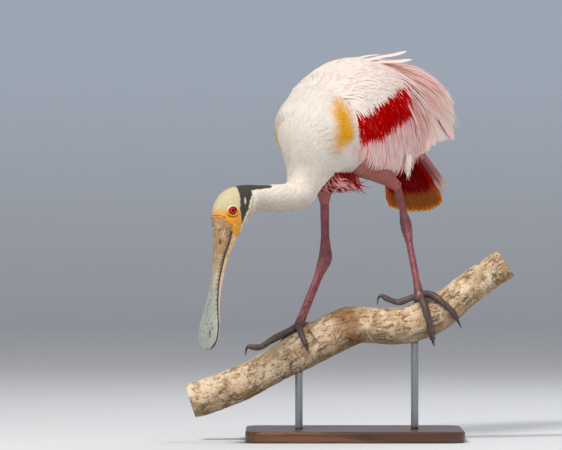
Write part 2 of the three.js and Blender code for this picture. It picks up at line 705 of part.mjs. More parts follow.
// One section of a mandible: the part of the bill's rounded section above or below the mouth line.
function billRing(s, upper, sides) {
  const { x: f, y: z, z: deep } = billLine.getPoint(s);
  const { x: half, y: mouth } = billShape.getPoint(s);
  const lean = rad(lerp(BILL_TILT.root, BILL_TILT.end, clamp(s / BILL_TILT.over, 0, 1)));
  const [df, dz] = [Math.cos(lean), Math.sin(lean)];
  const round = (c) => Math.sign(c) * Math.pow(Math.abs(c), 2 / BILL_SQUARE);
  const cut = -mouth + ((upper ? 1 : -1) * GAP) / 2 / deep;
  const limit = Math.acos(Math.sign(cut) * Math.pow(Math.abs(cut), BILL_SQUARE / 2));
  const [from, to] = upper ? [-limit, limit] : [limit, 2 * Math.PI - limit];
  return Array.from({ length: sides }, (_, j) => {
    const a = lerp(from, to, j / (sides - 1));
    const up = deep * round(Math.cos(a));
    return at(f + df * up, half * round(Math.sin(a)), z + dz * up);
  });
}

function mandible(upper, rings = 15) {
  return solid(
    loft(Array.from({ length: rings + 1 }, (_, i) => billRing(i / rings, upper, upper ? 12 : 8))),
  );
}

const NOSTRIL = { f: 236.5, z: 266, out: 4.4, long: 4.5, wide: 1 };

function nostrils() {
  return [1, -1].map((side) => {
    const slit = new THREE.SphereGeometry(1, 8, 6).scale(NOSTRIL.wide, NOSTRIL.wide * 2.4, NOSTRIL.long);
    const centre = at(NOSTRIL.f, side * NOSTRIL.out, NOSTRIL.z);
    slit.rotateZ(-rad(NECK_TURN.yaw));
    return solid(slit.translate(centre.x, centre.y, centre.z));
  });
}

// The stand: a bevelled base with round corners, and two rods up to the branch.
function base() {
  const { long, wide, high, corner, bevel } = BASE;
  const [a, b] = [long / 2 - bevel, wide / 2 - bevel];
  const outline = new THREE.Shape();
  outline.moveTo(-a + corner, -b);
  [[a, -b, 1, 0], [a, b, 0, 1], [-a, b, -1, 0], [-a, -b, 0, -1]].forEach(([x, y, dx, dy]) => {
    outline.lineTo(x - dx * corner, y - dy * corner);
    outline.quadraticCurveTo(x, y, x - dy * corner, y + dx * corner);
  });
  const plate = new THREE.ExtrudeGeometry(outline, {
    depth: high - 2 * bevel, bevelThickness: bevel, bevelSize: bevel, bevelSegments: 1, curveSegments: 5,
  });
  return solid(plate.translate(BASE.x, BASE.y, bevel));
}

function rod(x) {
  const top = BRANCH.find((row) => row.x >= x).z;
  const length = top - BASE.high - GAP;
  const bar = new THREE.CylinderGeometry(ROD.radius, ROD.radius, length, 16);
  bar.rotateX(Math.PI / 2).translate(x, 0, BASE.high + GAP + length / 2);
  return largest(solid(bar).subtract(branchGrown));
}

// Build every node.
const thighsGrown = join(Object.values(LEGS).map((leg) => thighTube(leg, GAP + 0.2)));
addNode("torso", join([trunk, join(tuftLocks()).subtract(thighsGrown)]), WHITE_PLUMAGE);
addNode("neck_lower", bodyLength(NECK_ROOT, NECK_MIDDLE, 8, 18), WHITE_PLUMAGE);
addNode("neck_upper", bodyLength(NECK_MIDDLE, NAPE, 7, 18), WHITE_PLUMAGE);
addNode("head", head(), BARE_HEAD);
addNode("eye_left", ball(eyeCentre(1), EYE.radius), EYE_RED);
addNode("eye_right", ball(eyeCentre(-1), EYE.radius), EYE_RED);
const upperBill = mandible(true);
addNode("bill_upper", upperBill.subtract(join(nostrils())), BILL_HORN);
addNode("bill_lower", mandible(false), BILL_HORN);
Object.entries(LEGS).forEach(([name, leg]) => {
  legPieces(name, leg);
  addNode(`foot_${name}`, footPieces(name, leg).subtract(branchGrown), LEG_SKIN);
});
addNode("tail", tail(), RED_PLUMAGE);
const underWing = join([trunkGrown, thighsGrown]);
addNode("wing_left", wing(1).subtract(underWing), PINK_PLUMAGE);
addNode("wing_right", wing(-1).subtract(underWing), PINK_PLUMAGE);
addNode("branch", branch(), BARK);
addNode("stand_base", base(), WALNUT);
ROD.at.forEach((x, i) => addNode(`stand_rod_${i + 1}`, rod(x), STEEL));

export default group;
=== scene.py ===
# %% [markdown]
# A roseate spoonbill leans down from a branch, life size, on a plain stand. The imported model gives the
# fixed frame: where the trunk, the wings, the bill and the toes are. This lesson dresses it with a skin,
# feathers, horn, bark and wood. Everything is in metres and in the same frame, so that nothing has to be
# fitted.

# %% Load the frame
import json
import math

import bpy
import numpy as np
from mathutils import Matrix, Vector

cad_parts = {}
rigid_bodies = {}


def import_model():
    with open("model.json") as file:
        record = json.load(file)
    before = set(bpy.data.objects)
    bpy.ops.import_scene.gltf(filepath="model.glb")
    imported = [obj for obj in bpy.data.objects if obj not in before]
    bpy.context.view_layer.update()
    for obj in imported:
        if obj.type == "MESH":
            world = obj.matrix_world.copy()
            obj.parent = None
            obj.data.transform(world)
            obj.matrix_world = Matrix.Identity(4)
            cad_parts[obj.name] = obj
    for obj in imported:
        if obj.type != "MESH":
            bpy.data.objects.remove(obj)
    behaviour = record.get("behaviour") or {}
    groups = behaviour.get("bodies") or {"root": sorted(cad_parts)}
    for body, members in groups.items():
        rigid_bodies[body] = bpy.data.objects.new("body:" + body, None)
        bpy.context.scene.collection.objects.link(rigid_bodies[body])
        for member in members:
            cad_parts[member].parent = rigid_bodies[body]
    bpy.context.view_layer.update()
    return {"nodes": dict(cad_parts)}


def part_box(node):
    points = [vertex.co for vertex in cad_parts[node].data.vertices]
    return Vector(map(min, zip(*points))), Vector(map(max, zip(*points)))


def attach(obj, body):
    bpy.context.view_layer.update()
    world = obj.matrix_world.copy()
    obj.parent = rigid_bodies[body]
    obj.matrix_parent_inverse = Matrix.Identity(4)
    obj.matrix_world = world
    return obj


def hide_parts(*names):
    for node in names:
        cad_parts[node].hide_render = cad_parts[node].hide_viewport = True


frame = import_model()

MM = 0.001
scene = bpy.context.scene
print("frame loaded:", len(frame["nodes"]), "nodes")

# %% [markdown]
# A bird's body bends through space, so its outline is easiest to draw on an upright sheet that bends with
# it: one number runs forward along the bird, one to its left and one up. The sheet is straight along the
# trunk, turns along the neck and is straight again through the head.

# %% The bird's own sheet
BODY_X, BODY_Y, BODY_YAW = -4.0, 15.0, math.radians(55)
TURN_FROM, TURN_TO, HEAD_YAW = 85.0, 190.0, math.radians(28)
TURN_RATE = (HEAD_YAW - BODY_YAW) / (TURN_TO - TURN_FROM)


def yaw_at(f):
    """The sheet's turn from above at f: steady, then an even change along the neck, then steady."""
    return BODY_YAW + TURN_RATE * (np.clip(f, TURN_FROM, TURN_TO) - TURN_FROM)


def left_at(f):
    """The direction to the bird's left, square to the sheet."""
    yaw = yaw_at(f)
    return np.stack([np.sin(yaw), -np.cos(yaw), np.zeros_like(yaw)], axis=-1)


def at(f, l, z):
    """A point of the sheet in metres: straight part, arc and straight part added up, then moved left."""
    f, l, z = np.broadcast_arrays(*(np.asarray(value, float) for value in (f, l, z)))
    yaw = yaw_at(f)
    straight = np.minimum(f, TURN_FROM)
    beyond = np.maximum(0, f - TURN_TO)
    x = BODY_X - straight * np.cos(BODY_YAW) - (np.sin(yaw) - np.sin(BODY_YAW)) / TURN_RATE
    y = BODY_Y - straight * np.sin(BODY_YAW) + (np.cos(yaw) - np.cos(BODY_YAW)) / TURN_RATE
    middle = np.stack([x - beyond * np.cos(yaw), y - beyond * np.sin(yaw), z], axis=-1)
    return (middle + left_at(f) * l[..., None]) * MM


print("beak end of the sheet:", at(240, 0, 300).round(3))

# %% [markdown]
# A few small tools serve every shape: a smooth curve through rows of sizes, a gentle step from 0 to 1, a
# hump that falls to both sides, and a seeded noise that gives the same unevenness at each run.

# %% Curves, steps and noise


def unit(v):
    """Each vector divided by its length."""
    return v / np.maximum(np.linalg.norm(v, axis=-1, keepdims=True), 1e-12)


def hump(value, width):
    """1 where the value is 0, falling to both sides: e to the minus square of the value over the width."""
    return np.exp(-((value / width) ** 2))


def looked_up(table, value):
    """A table's second column at a value of its first, along straight lines between the rows."""
    return np.interp(value, table[:, 0], table[:, 1])


def step(low, high, x):
    """0 below low, 1 above high, and 3t squared minus 2t cubed between them."""
    t = np.clip((x - low) / (high - low), 0, 1)
    return t * t * (3 - 2 * t)


def turns(count):
    """That many angles, evenly all the way round."""
    return np.linspace(0, 2 * np.pi, count, endpoint=False)


def curve(rows, t):
    """A Catmull-Rom curve through the rows at t, 0 to 1, with half the step between neighbours as slope."""
    rows = np.asarray(rows, float)
    ends = np.vstack([2 * rows[0] - rows[1], rows, 2 * rows[-1] - rows[-2]])
    place = np.clip(t, 0, 1) * (len(rows) - 1)
    i = np.clip(np.floor(place).astype(int), 0, len(rows) - 2)
    w = (place - i)[..., None]
    before, start, end, after = (ends[i + k] for k in range(4))
    leave, arrive = (end - before) / 2, (after - start) / 2
    bend = (2 * start - 2 * end + leave + arrive) * w**3
    return bend + (-3 * start + 3 * end - 2 * leave - arrive) * w**2 + leave * w + start


TABLE = 4096  # random numbers in a table


def seat(cell):
    """A place in a table for each cube of space: its three whole numbers times primes, added up."""
    return (cell[..., 0] * 73 + cell[..., 1] * 179 + cell[..., 2] * 283) % TABLE


def noise(points, size, seed=0):
    """Smooth unevenness from -1 to 1: random numbers at the corners of cubes, blended across each cube."""
    table = np.random.default_rng(seed).uniform(-1, 1, TABLE)
    place = np.asarray(points, float) / size
    cell = np.floor(place).astype(int)
    w = step(0, 1, place - cell)
    total = 0
    for corner in np.ndindex(2, 2, 2):
        share = np.prod(np.where(np.array(corner) == 1, w, 1 - w), axis=-1)
        total = total + share * table[seat(cell + corner)]
    return total


def cracks(points, size, seed=0):
    """Scales with grooves between them: the distance to the nearest of scattered points, taken from that to
    the second nearest, so that it is 0 in a groove and about 1 in the middle of a scale."""
    scatter = np.random.default_rng(seed).uniform(0, 1, (TABLE, 3))
    place = np.asarray(points, float) / size
    cell = np.floor(place).astype(int)
    nearest = np.full(place.shape[:-1], 9.0)
    second = nearest.copy()
    for corner in np.ndindex(3, 3, 3):
        i = cell + corner - 1
        far = np.linalg.norm(place - i - scatter[seat(i)], axis=-1)
        second = np.minimum(second, np.maximum(nearest, far))
        nearest = np.minimum(nearest, far)
    return np.clip((second - nearest) * 2, 0, 1)


# %% [markdown]
# A surface here is a grid of points. These helpers put a grid into a mesh in whole arrays, close its ends,
# and hand it to the frame: every piece rides on the one body, hides the nodes it stands for, and gets its
# material.

# %% From grids to pieces


def new_piece(name, points, quads, triangles=(), paint=None, maps=None):
    """Puts points and faces into a mesh. paint is four numbers a point, and maps are named UV maps, two
    numbers a point, spread to the corners of the faces."""
    triangles = np.asarray(triangles, int).reshape(-1, 3)
    corners = np.concatenate([quads.ravel(), triangles.ravel()]).astype(np.int32)
    sizes = np.concatenate([np.full(len(quads), 4), np.full(len(triangles), 3)])
    starts = np.concatenate([[0], np.cumsum(sizes)[:-1]]).astype(np.int32)
    mesh = bpy.data.meshes.new(name)
    mesh.vertices.add(len(points))
    mesh.vertices.foreach_set("co", np.asarray(points, np.float32).ravel())
    mesh.loops.add(len(corners))
    mesh.loops.foreach_set("vertex_index", corners)
    mesh.polygons.add(len(sizes))
    mesh.polygons.foreach_set("loop_start", starts)
    mesh.update(calc_edges=True)
    mesh.polygons.foreach_set("use_smooth", np.ones(len(sizes), bool))
    for map_name, uv in (maps or {}).items():
        layer = mesh.uv_layers.new(name=map_name)
        layer.uv.foreach_set("vector", uv.reshape(-1, 2)[corners].astype(np.float32).ravel())
    if paint is not None:
        layer = mesh.color_attributes.new("paint", "FLOAT_COLOR", "POINT")
        layer.data.foreach_set("color", np.asarray(paint, np.float32).reshape(-1, 4).ravel())
    piece = bpy.data.objects.new(name, mesh)
    scene.collection.objects.link(piece)
    return piece


def belong(piece, material, slot, *nodes):
    """Gives a piece its material and the body it rides on, and hides the nodes that it stands for. The slot
    is not used.
    """
    piece.data.materials.append(material)
    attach(piece, "root")
    if nodes:
        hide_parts(*nodes)
    return piece


def grid_faces(rows, columns, first=0, wrap=False):
    """Corner numbers of the quads of a grid. With wrap, the last column joins the first."""
    r, c = np.meshgrid(np.arange(rows - 1), np.arange(columns if wrap else columns - 1), indexing="ij")
    here, aside = r * columns + c, r * columns + (c + 1) % columns
    return first + np.stack([here, aside, aside + columns, here + columns], axis=-1).reshape(-1, 4)


def closed_grid(grid):
    """Points and faces of a tube of rings, with a fan to the middle of each end, turned to face outwards."""
    rows, columns, _ = grid.shape
    points = np.concatenate([grid.reshape(-1, 3), grid[:1].mean(1), grid[-1:].mean(1)])
    quads = grid_faces(rows, columns, wrap=True)
    ring = np.arange(columns)
    after = (ring + 1) % columns
    last = (rows - 1) * columns
    start, end = rows * columns, rows * columns + 1
    fans = np.concatenate([
        np.stack([np.full(columns, start), after, ring], axis=-1),
        np.stack([np.full(columns, end), last + ring, last + after], axis=-1),
    ])
    a, b, c, d = (points[quads[:, k]] for k in range(4))
    volume = np.sum(a * np.cross(b, c)) + np.sum(a * np.cross(c, d))
    if volume < 0:
        quads, fans = quads[:, ::-1], fans[:, ::-1]
    return points, quads, fans


def ring_paint(paint):
    """Paint of a closed grid's points: the ends take the mean of their rings."""
    return np.concatenate([paint.reshape(-1, 4), paint[:1].mean(1), paint[-1:].mean(1)])


def closed_piece(name, grid, material, slot, *nodes, paint=None):
    """A closed grid as a piece. paint is four numbers for the whole grid or for each of its points."""
    if paint is not None:
        paint = ring_paint(np.broadcast_to(paint, (*grid.shape[:2], 4)))
    return belong(new_piece(name, *closed_grid(grid), paint=paint), material, slot, *nodes)


def mixed(shape, pink=0.0, crimson=0.0, gold=0.0, tone=0.5):
    """Paint of one shape from its four channels, each a number or an array that spreads to the shape."""
    return np.stack([np.broadcast_to(channel, shape) for channel in (pink, crimson, gold, tone)], axis=-1)


# %% [markdown]
# The body's outline is drawn as a side view: the line of the back, the line of the belly, and half the
# width, from the rump to the bill. A ring of skin hangs between the two lines at each place along it.

# %% The body's shape
OUTLINE = np.array([  # back f and z, belly f and z, half width
    [-144, 418, -134, 392, 12], [-140, 434, -116, 380, 28], [-122, 460, -92, 366, 44],
    [-84, 482, -64, 355, 57], [-38, 496, -34, 350, 63], [6, 493, 0, 349, 65],
    [46, 476, 24, 350, 63], [80, 461, 38, 350, 60], [103, 440, 47, 348, 52],
    [112, 414, 55, 342, 36], [111, 387, 63, 335, 27], [108, 365, 72, 327, 22],
    [110, 351, 82, 316, 19], [117, 342.5, 99, 307.5, 17.6], [130, 339, 120, 304.5, 17],
    [150, 338.5, 146, 304.5, 16.5], [170, 338.5, 164, 304, 16.5], [190, 339, 179, 300, 17.5],
    [206, 337, 188, 293.5, 18.5], [221, 332, 194, 286, 18.5], [232, 322, 198.5, 280.5, 17],
    [238.5, 308, 202, 275, 14.5], [239.5, 294, 206, 269, 12.6],
])
BILL_END = len(OUTLINE) - 1


def body(place, around, lift=0.0):
    """A point of the body: half way between back and belly, plus cosine of the turn towards the back and
    sine of it towards the left. around is 0 on the back and a quarter turn on the left side. lift stands
    off it."""
    place, around, lift = np.broadcast_arrays(place, around, np.asarray(lift, float))
    row = curve(OUTLINE, place / BILL_END)
    back, belly = at(row[..., 0], 0, row[..., 1]), at(row[..., 2], 0, row[..., 3])
    centre = (back + belly) / 2
    tall = np.linalg.norm(back - centre, axis=-1, keepdims=True)
    up = (back - centre) / tall
    side = left_at((row[..., 0] + row[..., 2]) / 2)
    lifted = lift[..., None] * MM
    high = (tall + lifted) * np.cos(around)[..., None]
    wide = (row[..., 4:5] * MM + lifted) * np.sin(around)[..., None]
    return centre + up * high + side * wide


def facing(surface, u, v, du, dv):
    """Outward direction of a surface: the cross product of its slopes, to the side where lift grows."""
    along = surface(u + du, v, 0) - surface(u - du, v, 0)
    across = surface(u, v + dv, 0) - surface(u, v - dv, 0)
    out = unit(np.cross(along, across))
    lifted = surface(u, v, 1) - surface(u, v, 0)
    return out * np.where((out * lifted).sum(-1, keepdims=True) < 0, -1, 1)


print("shoulder:", body(np.array(8.0), np.array(1.5)).round(3))

# %% [markdown]
# Each folded wing is a cloak of feathers over the side and back. Its sections are ovals: the angle is 0 at
# the side, 90 on the middle of the back, and below 0 the free edge hangs almost straight.

# %% The wing cloak's shape
CLOAK = np.array([  # f, half width, height of the middle, half height
    [72, 54, 431, 35], [50, 62, 431, 48.5], [25, 67, 431, 61], [0, 70, 432, 71], [-40, 70, 431, 76],
    [-85, 65, 428, 74], [-130, 55, 425, 72], [-175, 42, 421, 69], [-215, 30, 415, 62], [-255, 17, 406, 50],
])
HANG = 0.3


def cloak(side):
    """The surface of one wing's cloak: side is 1 for the left wing and -1 for the right."""

    def point(f, angle, lift=0.0):
        """Half width and height follow the rows along f, as cosine and sine of the angle."""
        f, angle, lift = np.broadcast_arrays(f, angle, np.asarray(lift, float))
        place = np.interp(-f, -CLOAK[:, 0], np.arange(len(CLOAK))) / (len(CLOAK) - 1)
        row = curve(CLOAK[:, 1:], place)
        a = np.radians(angle)
        inward = np.where(angle < 0, HANG, 1.0)
        l = (row[..., 0] + lift) * (1 - inward * (1 - np.cos(a)))
        return at(f, side * l, row[..., 1] + (row[..., 2] + lift) * np.sin(a))

    return point


WING_FRONT, WING_FREE = 62.0, 38.0
OVER_BODY = np.array([  # angle and height over the body at the front edge
    [-20, 0], [0, 2], [20, 5.2], [40, 5.4], [60, 4], [80, 2.7], [90, 2.6],
])


def eased(surface):
    """The cloak let down at its front edge by its height over the body, so that it starts level with it."""

    def point(f, angle, lift=0.0):
        """Lift less the height over the body, which fades out behind the edge."""
        over = looked_up(OVER_BODY, angle)
        return surface(f, angle, lift - over * step(WING_FREE, WING_FRONT, f))

    return point


SIDES = {"left": 1, "right": -1}
CLOAKS = {name: eased(cloak(side)) for name, side in SIDES.items()}

# %% [markdown]
# A feather is a thin vane along a curved path. Thousands of them are worked out at once: each has its path,
# the side that faces out, and its half width along the path, and becomes a small grid whose edges are
# ragged where the barbs part. An under sheet that meets the upper one along the edge closes it, so it is
# solid. For the export each feather also keeps a small patch of its own on an unwrap of the skin, named
# OFBake.

# %% Vanes from paths
BAKE_PATCH = 0.003


def vanes(name, path, out, half, bake, paint, look, seed, finish, *nodes):
    """Many feathers as one piece. path and out are feathers by steps by 3, half is feathers by steps, bake
    is the root's place on the unwrap, paint is feathers by steps by 4, and finish is a material and its
    slot. A grid point is the path, plus the way across times the half width, less the camber times the
    square of the way across, plus a random reach at the edges."""
    rng = np.random.default_rng(seed)
    count, steps, _ = path.shape
    columns = look["columns"]
    s = np.linspace(0, 1, steps)
    u = np.linspace(-1, 1, columns)
    along = unit(np.gradient(path, axis=1))
    across = unit(np.cross(out, along))
    up = np.cross(along, across)
    edge = np.abs(u) ** 2
    aside = half[..., None] * u
    tooth = np.where(np.arange(columns) % 2 == 1, 1.0, -1.0) * look.get("teeth", 0.0) * s[None, :, None] ** 6
    ragged = rng.normal(0, 1, (count, steps, columns)) * look.get("ragged", 0.0) * edge
    onward = (look.get("sweep", 0.5) * np.abs(aside) + (ragged + tooth) * MM) * np.minimum(1, 4 * s)[:, None]
    narrow = 1 + rng.normal(0, 1, (count, steps, columns)) * look.get("split", 0.0) * edge
    top = (
        path[:, :, None]
        + across[:, :, None] * (aside * narrow)[..., None]
        + along[:, :, None] * onward[..., None]
        - up[:, :, None] * (look.get("camber", 0.15) * half[..., None] * edge)[..., None]
    )
    keel = look.get("keel", 0.0) * MM * (1 - s[:, None]) * hump(u, 0.12)
    top = top + up[:, :, None] * keel[None, ..., None]
    across_mm = aside / MM
    reach = np.linalg.norm(np.diff(path, axis=1, prepend=path[:, :1]), axis=-1).cumsum(1)
    shift = rng.uniform(0, 400, (count, 1, 1))
    barbs = np.stack(np.broadcast_arrays(across_mm + 20, reach[..., None] / MM + shift), axis=-1)
    patch = np.stack(np.broadcast_arrays(u[None, None] / 2, s[None, :, None] - 0.5), axis=-1) * BAKE_PATCH
    patch = patch + bake[:, None, None]
    colour = np.broadcast_to(paint[:, :, None], (count, steps, columns, 4))
    quads = grid_faces(steps, columns)[:, ::-1]
    each = steps * columns
    all_quads = (quads[None] + (np.arange(count) * each)[:, None, None]).reshape(-1, 4)
    points = top.reshape(-1, 3)
    uv = {"OFBake": patch, "barbs": barbs}
    if look.get("thick", 0):
        inside = (1 - np.abs(u) ** 4)[None, :] * (1 - np.abs(2 * s - 1) ** 8)[:, None]
        under = top - up[:, :, None] * (look["thick"] * MM * inside)[None, ..., None]
        points = np.concatenate([points, under.reshape(-1, 3)])
        all_quads = np.concatenate([all_quads, all_quads[:, ::-1] + count * each])
        uv = {key: np.concatenate([value, value]) for key, value in uv.items()}
        colour = np.concatenate([colour, colour])
    print(f"{name}: {count} feathers, {len(all_quads) * 2} triangles")
    return belong(new_piece(name, points, all_quads, paint=colour, maps=uv), *finish, *nodes)


def lay(surface, u, v, size, heading, length, lifts, steps, droop=0.0):
    """Paths over a surface: from each root, the two parameters change evenly by the heading over the local
    slopes, so that the path has its real length. lifts gives the height over the surface at the root and
    the tip."""
    du, dv = size
    slope_u = np.linalg.norm(surface(u + du, v, 0) - surface(u - du, v, 0), axis=-1) / (2 * du)
    slope_v = np.linalg.norm(surface(u, v + dv, 0) - surface(u, v - dv, 0), axis=-1) / (2 * dv)
    s = np.linspace(0, 1, steps)
    go_u, go_v = heading[0] * length / slope_u, heading[1] * length / slope_v
    us = u[:, None] + go_u[:, None] * s
    vs = v[:, None] + go_v[:, None] * (s + droop * s * (s - 1))
    low, high = (np.broadcast_to(value, u.shape)[:, None] for value in lifts)
    out = facing(surface, us, vs, du, dv)
    path = surface(us, vs, 0) + out * (low + (high - low) * s**1.3)[..., None] * MM
    return path, out, us, vs


def rows_of_roots(surface, us, v_from, v_to, spacing, rng, jitter=0.3):
    """Roots in staggered rows: one spacing apart along each row over the surface, then shaken a little."""
    all_u, all_v = [], []
    for i, u in enumerate(us):
        v = np.linspace(v_from(u), v_to(u), 200)
        way = np.linalg.norm(np.diff(surface(np.full(200, u), v, 0), axis=0), axis=-1)
        way = np.concatenate([[0], np.cumsum(way)])
        seats = np.arange((i % 2) * 0.5, way[-1] / (spacing * MM)) * spacing * MM
        seats = seats + rng.uniform(-jitter, jitter, len(seats)) * spacing * MM
        all_v.append(np.interp(seats, way, v))
        all_u.append(np.full(len(seats), float(u)))
    return np.concatenate(all_u), np.concatenate(all_v)


VANE_SHAPES = {  # share of the full width along a feather from root to tip
    "body": [0.55, 0.9, 1.0, 0.85, 0.35],
    "long": [0.4, 0.75, 0.9, 0.98, 1.0, 1.0, 0.98, 0.82, 0.3],
    "strand": [0.8, 1.0, 0.85, 0.55, 0.12],
    "pointed": [0.5, 0.95, 1.0, 0.7, 0.1],
}


def widths(shape, half, steps):
    """Half widths along each feather: the shape's shares at even steps, times the feather's half width."""
    shares = np.array(VANE_SHAPES[shape])
    s = np.interp(np.linspace(0, 1, steps), np.linspace(0, 1, len(shares)), shares)
    return np.asarray(half)[:, None] * MM * s


# %% [markdown]
# The markings are the same on skin and feathers, so they are worked out once, from the place on the bird.
# Paint has four channels: pink, crimson, gold, and a tone that darkens or lightens.

# %% Where the colours lie


def sheet_place(points):
    """f, l and z of points on the straight part of the sheet: the turn from above undone."""
    x, y = points[..., 0] / MM - BODY_X, points[..., 1] / MM - BODY_Y
    f = -x * math.cos(BODY_YAW) - y * math.sin(BODY_YAW)
    l = x * math.sin(BODY_YAW) - y * math.cos(BODY_YAW)
    return f, l, points[..., 2] / MM


def oval(x, y, x0, y0, rx, ry, soft):
    """1 inside an oval, falling to 0 over the soft share of its size."""
    return 1 - step(1 - soft, 1 + soft, np.hypot((x - x0) / rx, (y - y0) / ry))


def body_marks(points):
    """Paint of the trunk and the neck: a gold patch in front of each wing, cream towards the wing, pink
    towards the belly and the rump, and painted shade, a little warm, on the underside of the neck."""
    f, l, z = sheet_place(points)
    wobble = 3 * noise(points, 0.010, 3) + 2 * noise(points, 0.004, 4)
    middle = np.where(l > 0, 71, 76) - 0.10 * (z - 425)
    gold = oval(f + wobble, z, middle, 422, 13, 37, 0.45) * step(30, 42, np.abs(l))
    cream = step(73, 62, f + 0.5 * wobble) * step(405, 430, z)
    gold = gold * (1 - 0.5 * cream)
    pink = np.maximum(step(372, 350, z) * step(60, 30, f) * 0.9, step(-40, -120, f) * 0.6)
    pink = np.maximum(pink, 0.16 * step(20, -60, f))
    pink = np.maximum(pink, 0.6 * oval(f, z, 52, 384, 7, 8, 0.5) * (l > 0))
    tone = 0.52 + 0.12 * noise(points, 0.01, 5)
    # Painted shade on the underside of the neck: a darker tone with a little gold.
    under = step(334, 308, z - 0.35 * np.maximum(0, 110 - f)) * step(80, 110, f)
    return np.stack([pink, 0 * gold, np.maximum(gold, 0.14 * under), tone - 0.42 * under], axis=-1)


# Edges on the wings' cloaks, each a row of f and angle: the crimson bar's two, the scapulars' front, and the
# lowest roots of the hanging strands.
BAR_TOP = np.array([
    [62, -10], [59, -7], [54, 6], [35, 12], [15, 17], [-7, 23], [-28, 29], [-51, 37], [-74, 41],
    [-94, 41],
])
BAR_LOW = np.array([
    [62, -24], [44, -34], [31, -28], [16, -24], [-1, -15], [-18, -8], [-34, -3], [-52, 5],
    [-66, 13], [-78, 25], [-94, 38],
])
CREASE = np.array([[75, 44], [49, 50], [31, 55], [11, 58], [-8, 60], [-30, 62]])
HANG_LOW = np.array([[58, -32], [30, -46], [-10, -50], [-50, -40], [-118, 6]])


def edge_at(edge, f):
    """The angle of an edge at f."""
    return np.interp(-f, -edge[:, 0], edge[:, 1])


# %% [markdown]
# Plumage is matt, with fine barbs that run out and forward from each shaft. One node group draws the colour
# from the paint and the barbs from the feather's own map, and each plumage material sets its own colours.

# %% Node helpers


def srgb(code):
    """A colour as it looks on screen, such as f6ede4, as the linear numbers that shaders use."""
    value = np.array([int(code[i : i + 2], 16) for i in (0, 2, 4)]) / 255
    linear = np.where(value <= 0.04045, value / 12.92, ((value + 0.055) / 1.055) ** 2.4)
    return (*linear.tolist(), 1.0)


def put(tree, kind, inputs=None, **settings):
    """Adds a shader node with its properties and inputs. Sockets are linked, and codes are colours."""
    node = tree.nodes.new("ShaderNode" + kind)
    for key, value in settings.items():
        setattr(node, key, value)
    for key, value in (inputs or {}).items():
        if isinstance(value, bpy.types.NodeSocket):
            tree.links.new(value, node.inputs[key])
        else:
            node.inputs[key].default_value = srgb(value) if isinstance(value, str) else value
    return node


def maths(tree, operation, a, b=0.0):
    """One sum on two values."""
    return put(tree, "Math", {0: a, 1: b}, operation=operation).outputs[0]


def times(tree, a, b):
    """One value times another."""
    return maths(tree, "MULTIPLY", a, b)


def blend(tree, share, a, b, how="MIX"):
    """Mixes two colours by a share."""
    return put(tree, "Mix", {0: share, 6: a, 7: b}, data_type="RGBA", blend_type=how).outputs[2]


def layers(tree, colour, *over):
    """Lays colours over a first one, one after another, each by its share."""
    for share, upper in over:
        colour = blend(tree, share, colour, upper)
    return colour


def ramp(tree, value, low, high, top=1.0):
    """0 below low and top above high, with a gentle step between them."""
    inputs = {0: value, 1: low, 2: high, 4: top}
    return put(tree, "MapRange", inputs, interpolation_type="SMOOTHSTEP").outputs[0]


def cloud(tree, where, scale, detail=4.0, rough=0.6):
    """A noise texture's value."""
    inputs = {"Vector": where, "Scale": scale, "Detail": detail, "Roughness": rough}
    return put(tree, "TexNoise", inputs).outputs["Fac"]


def object_place(tree, stretch=None):
    """The place on the object, with the pattern stretched along its axes where that is asked for."""
    where = put(tree, "TexCoord").outputs["Object"]
    return put(tree, "Mapping", {0: where, 3: stretch}).outputs[0] if stretch else where


def paint_parts(tree):
    """The four channels of the paint."""
    node = put(tree, "Attribute", attribute_name="paint")
    return [*put(tree, "SeparateColor", {0: node.outputs["Color"]}).outputs, node.outputs["Alpha"]]


def new_group(name, inputs, outputs):
    """A node group with named sockets. Returns the tree, its input node's sockets and its output node's."""
    tree = bpy.data.node_groups.new(name, "ShaderNodeTree")
    for key, kind, value in inputs:
        socket = tree.interface.new_socket(name=key, in_out="INPUT", socket_type=kind)
        socket.default_value = srgb(value) if isinstance(value, str) else value
    for key, kind in outputs:
        tree.interface.new_socket(name=key, in_out="OUTPUT", socket_type=kind)
    return tree, tree.nodes.new("NodeGroupInput").outputs, tree.nodes.new("NodeGroupOutput").inputs


def new_material(name, roughness=0.6, **constants):
    """A material with one Principled shader, whose plain numbers are set on its own sockets."""
    material = bpy.data.materials.new(name)
    material.use_nodes = True
    shader = material.node_tree.nodes["Principled BSDF"]
    shader.inputs["Roughness"].default_value = roughness
    for key, value in constants.items():
        shader.inputs[key.replace("_", " ")].default_value = value
    return material, material.node_tree, shader


def cover(tree, shader, colour, height=None, depth=0.0):
    """Feeds a colour to the shader, and a height in millimetres through a Bump node to its normal."""
    tree.links.new(colour, shader.inputs["Base Color"])
    if height is not None:
        node = put(tree, "Bump", {"Height": height, "Distance": depth * MM, "Strength": 1.0})
        tree.links.new(node.outputs["Normal"], shader.inputs["Normal"])


# %% Plumage materials
COLOUR, FLOAT = "NodeSocketColor", "NodeSocketFloat"
SHAFT = 20.0  # the shaft's place on the map of the barbs
FEATHER_LOOK, get, give = new_group(
    "feather look",
    [("Ground", COLOUR, "f3eadf"), ("Pink", COLOUR, "efb4b2"), ("Crimson", COLOUR, "a80408"),
     ("Gold", COLOUR, "e3ab3c"), ("Streak", FLOAT, 0.25)],
    [("Color", COLOUR), ("Height", FLOAT)],
)
tree = FEATHER_LOOK
channels = paint_parts(tree)
x, y, _ = put(tree, "SeparateXYZ", {0: put(tree, "UVMap", uv_map="barbs").outputs[0]}).outputs
aside = maths(tree, "ABSOLUTE", maths(tree, "SUBTRACT", x, SHAFT))
forward = maths(tree, "SUBTRACT", y, times(tree, aside, 1.4))
barb = cloud(tree, put(tree, "CombineXYZ", {0: times(tree, x, 0.12), 1: forward}).outputs[0], 1.7, 2.0)
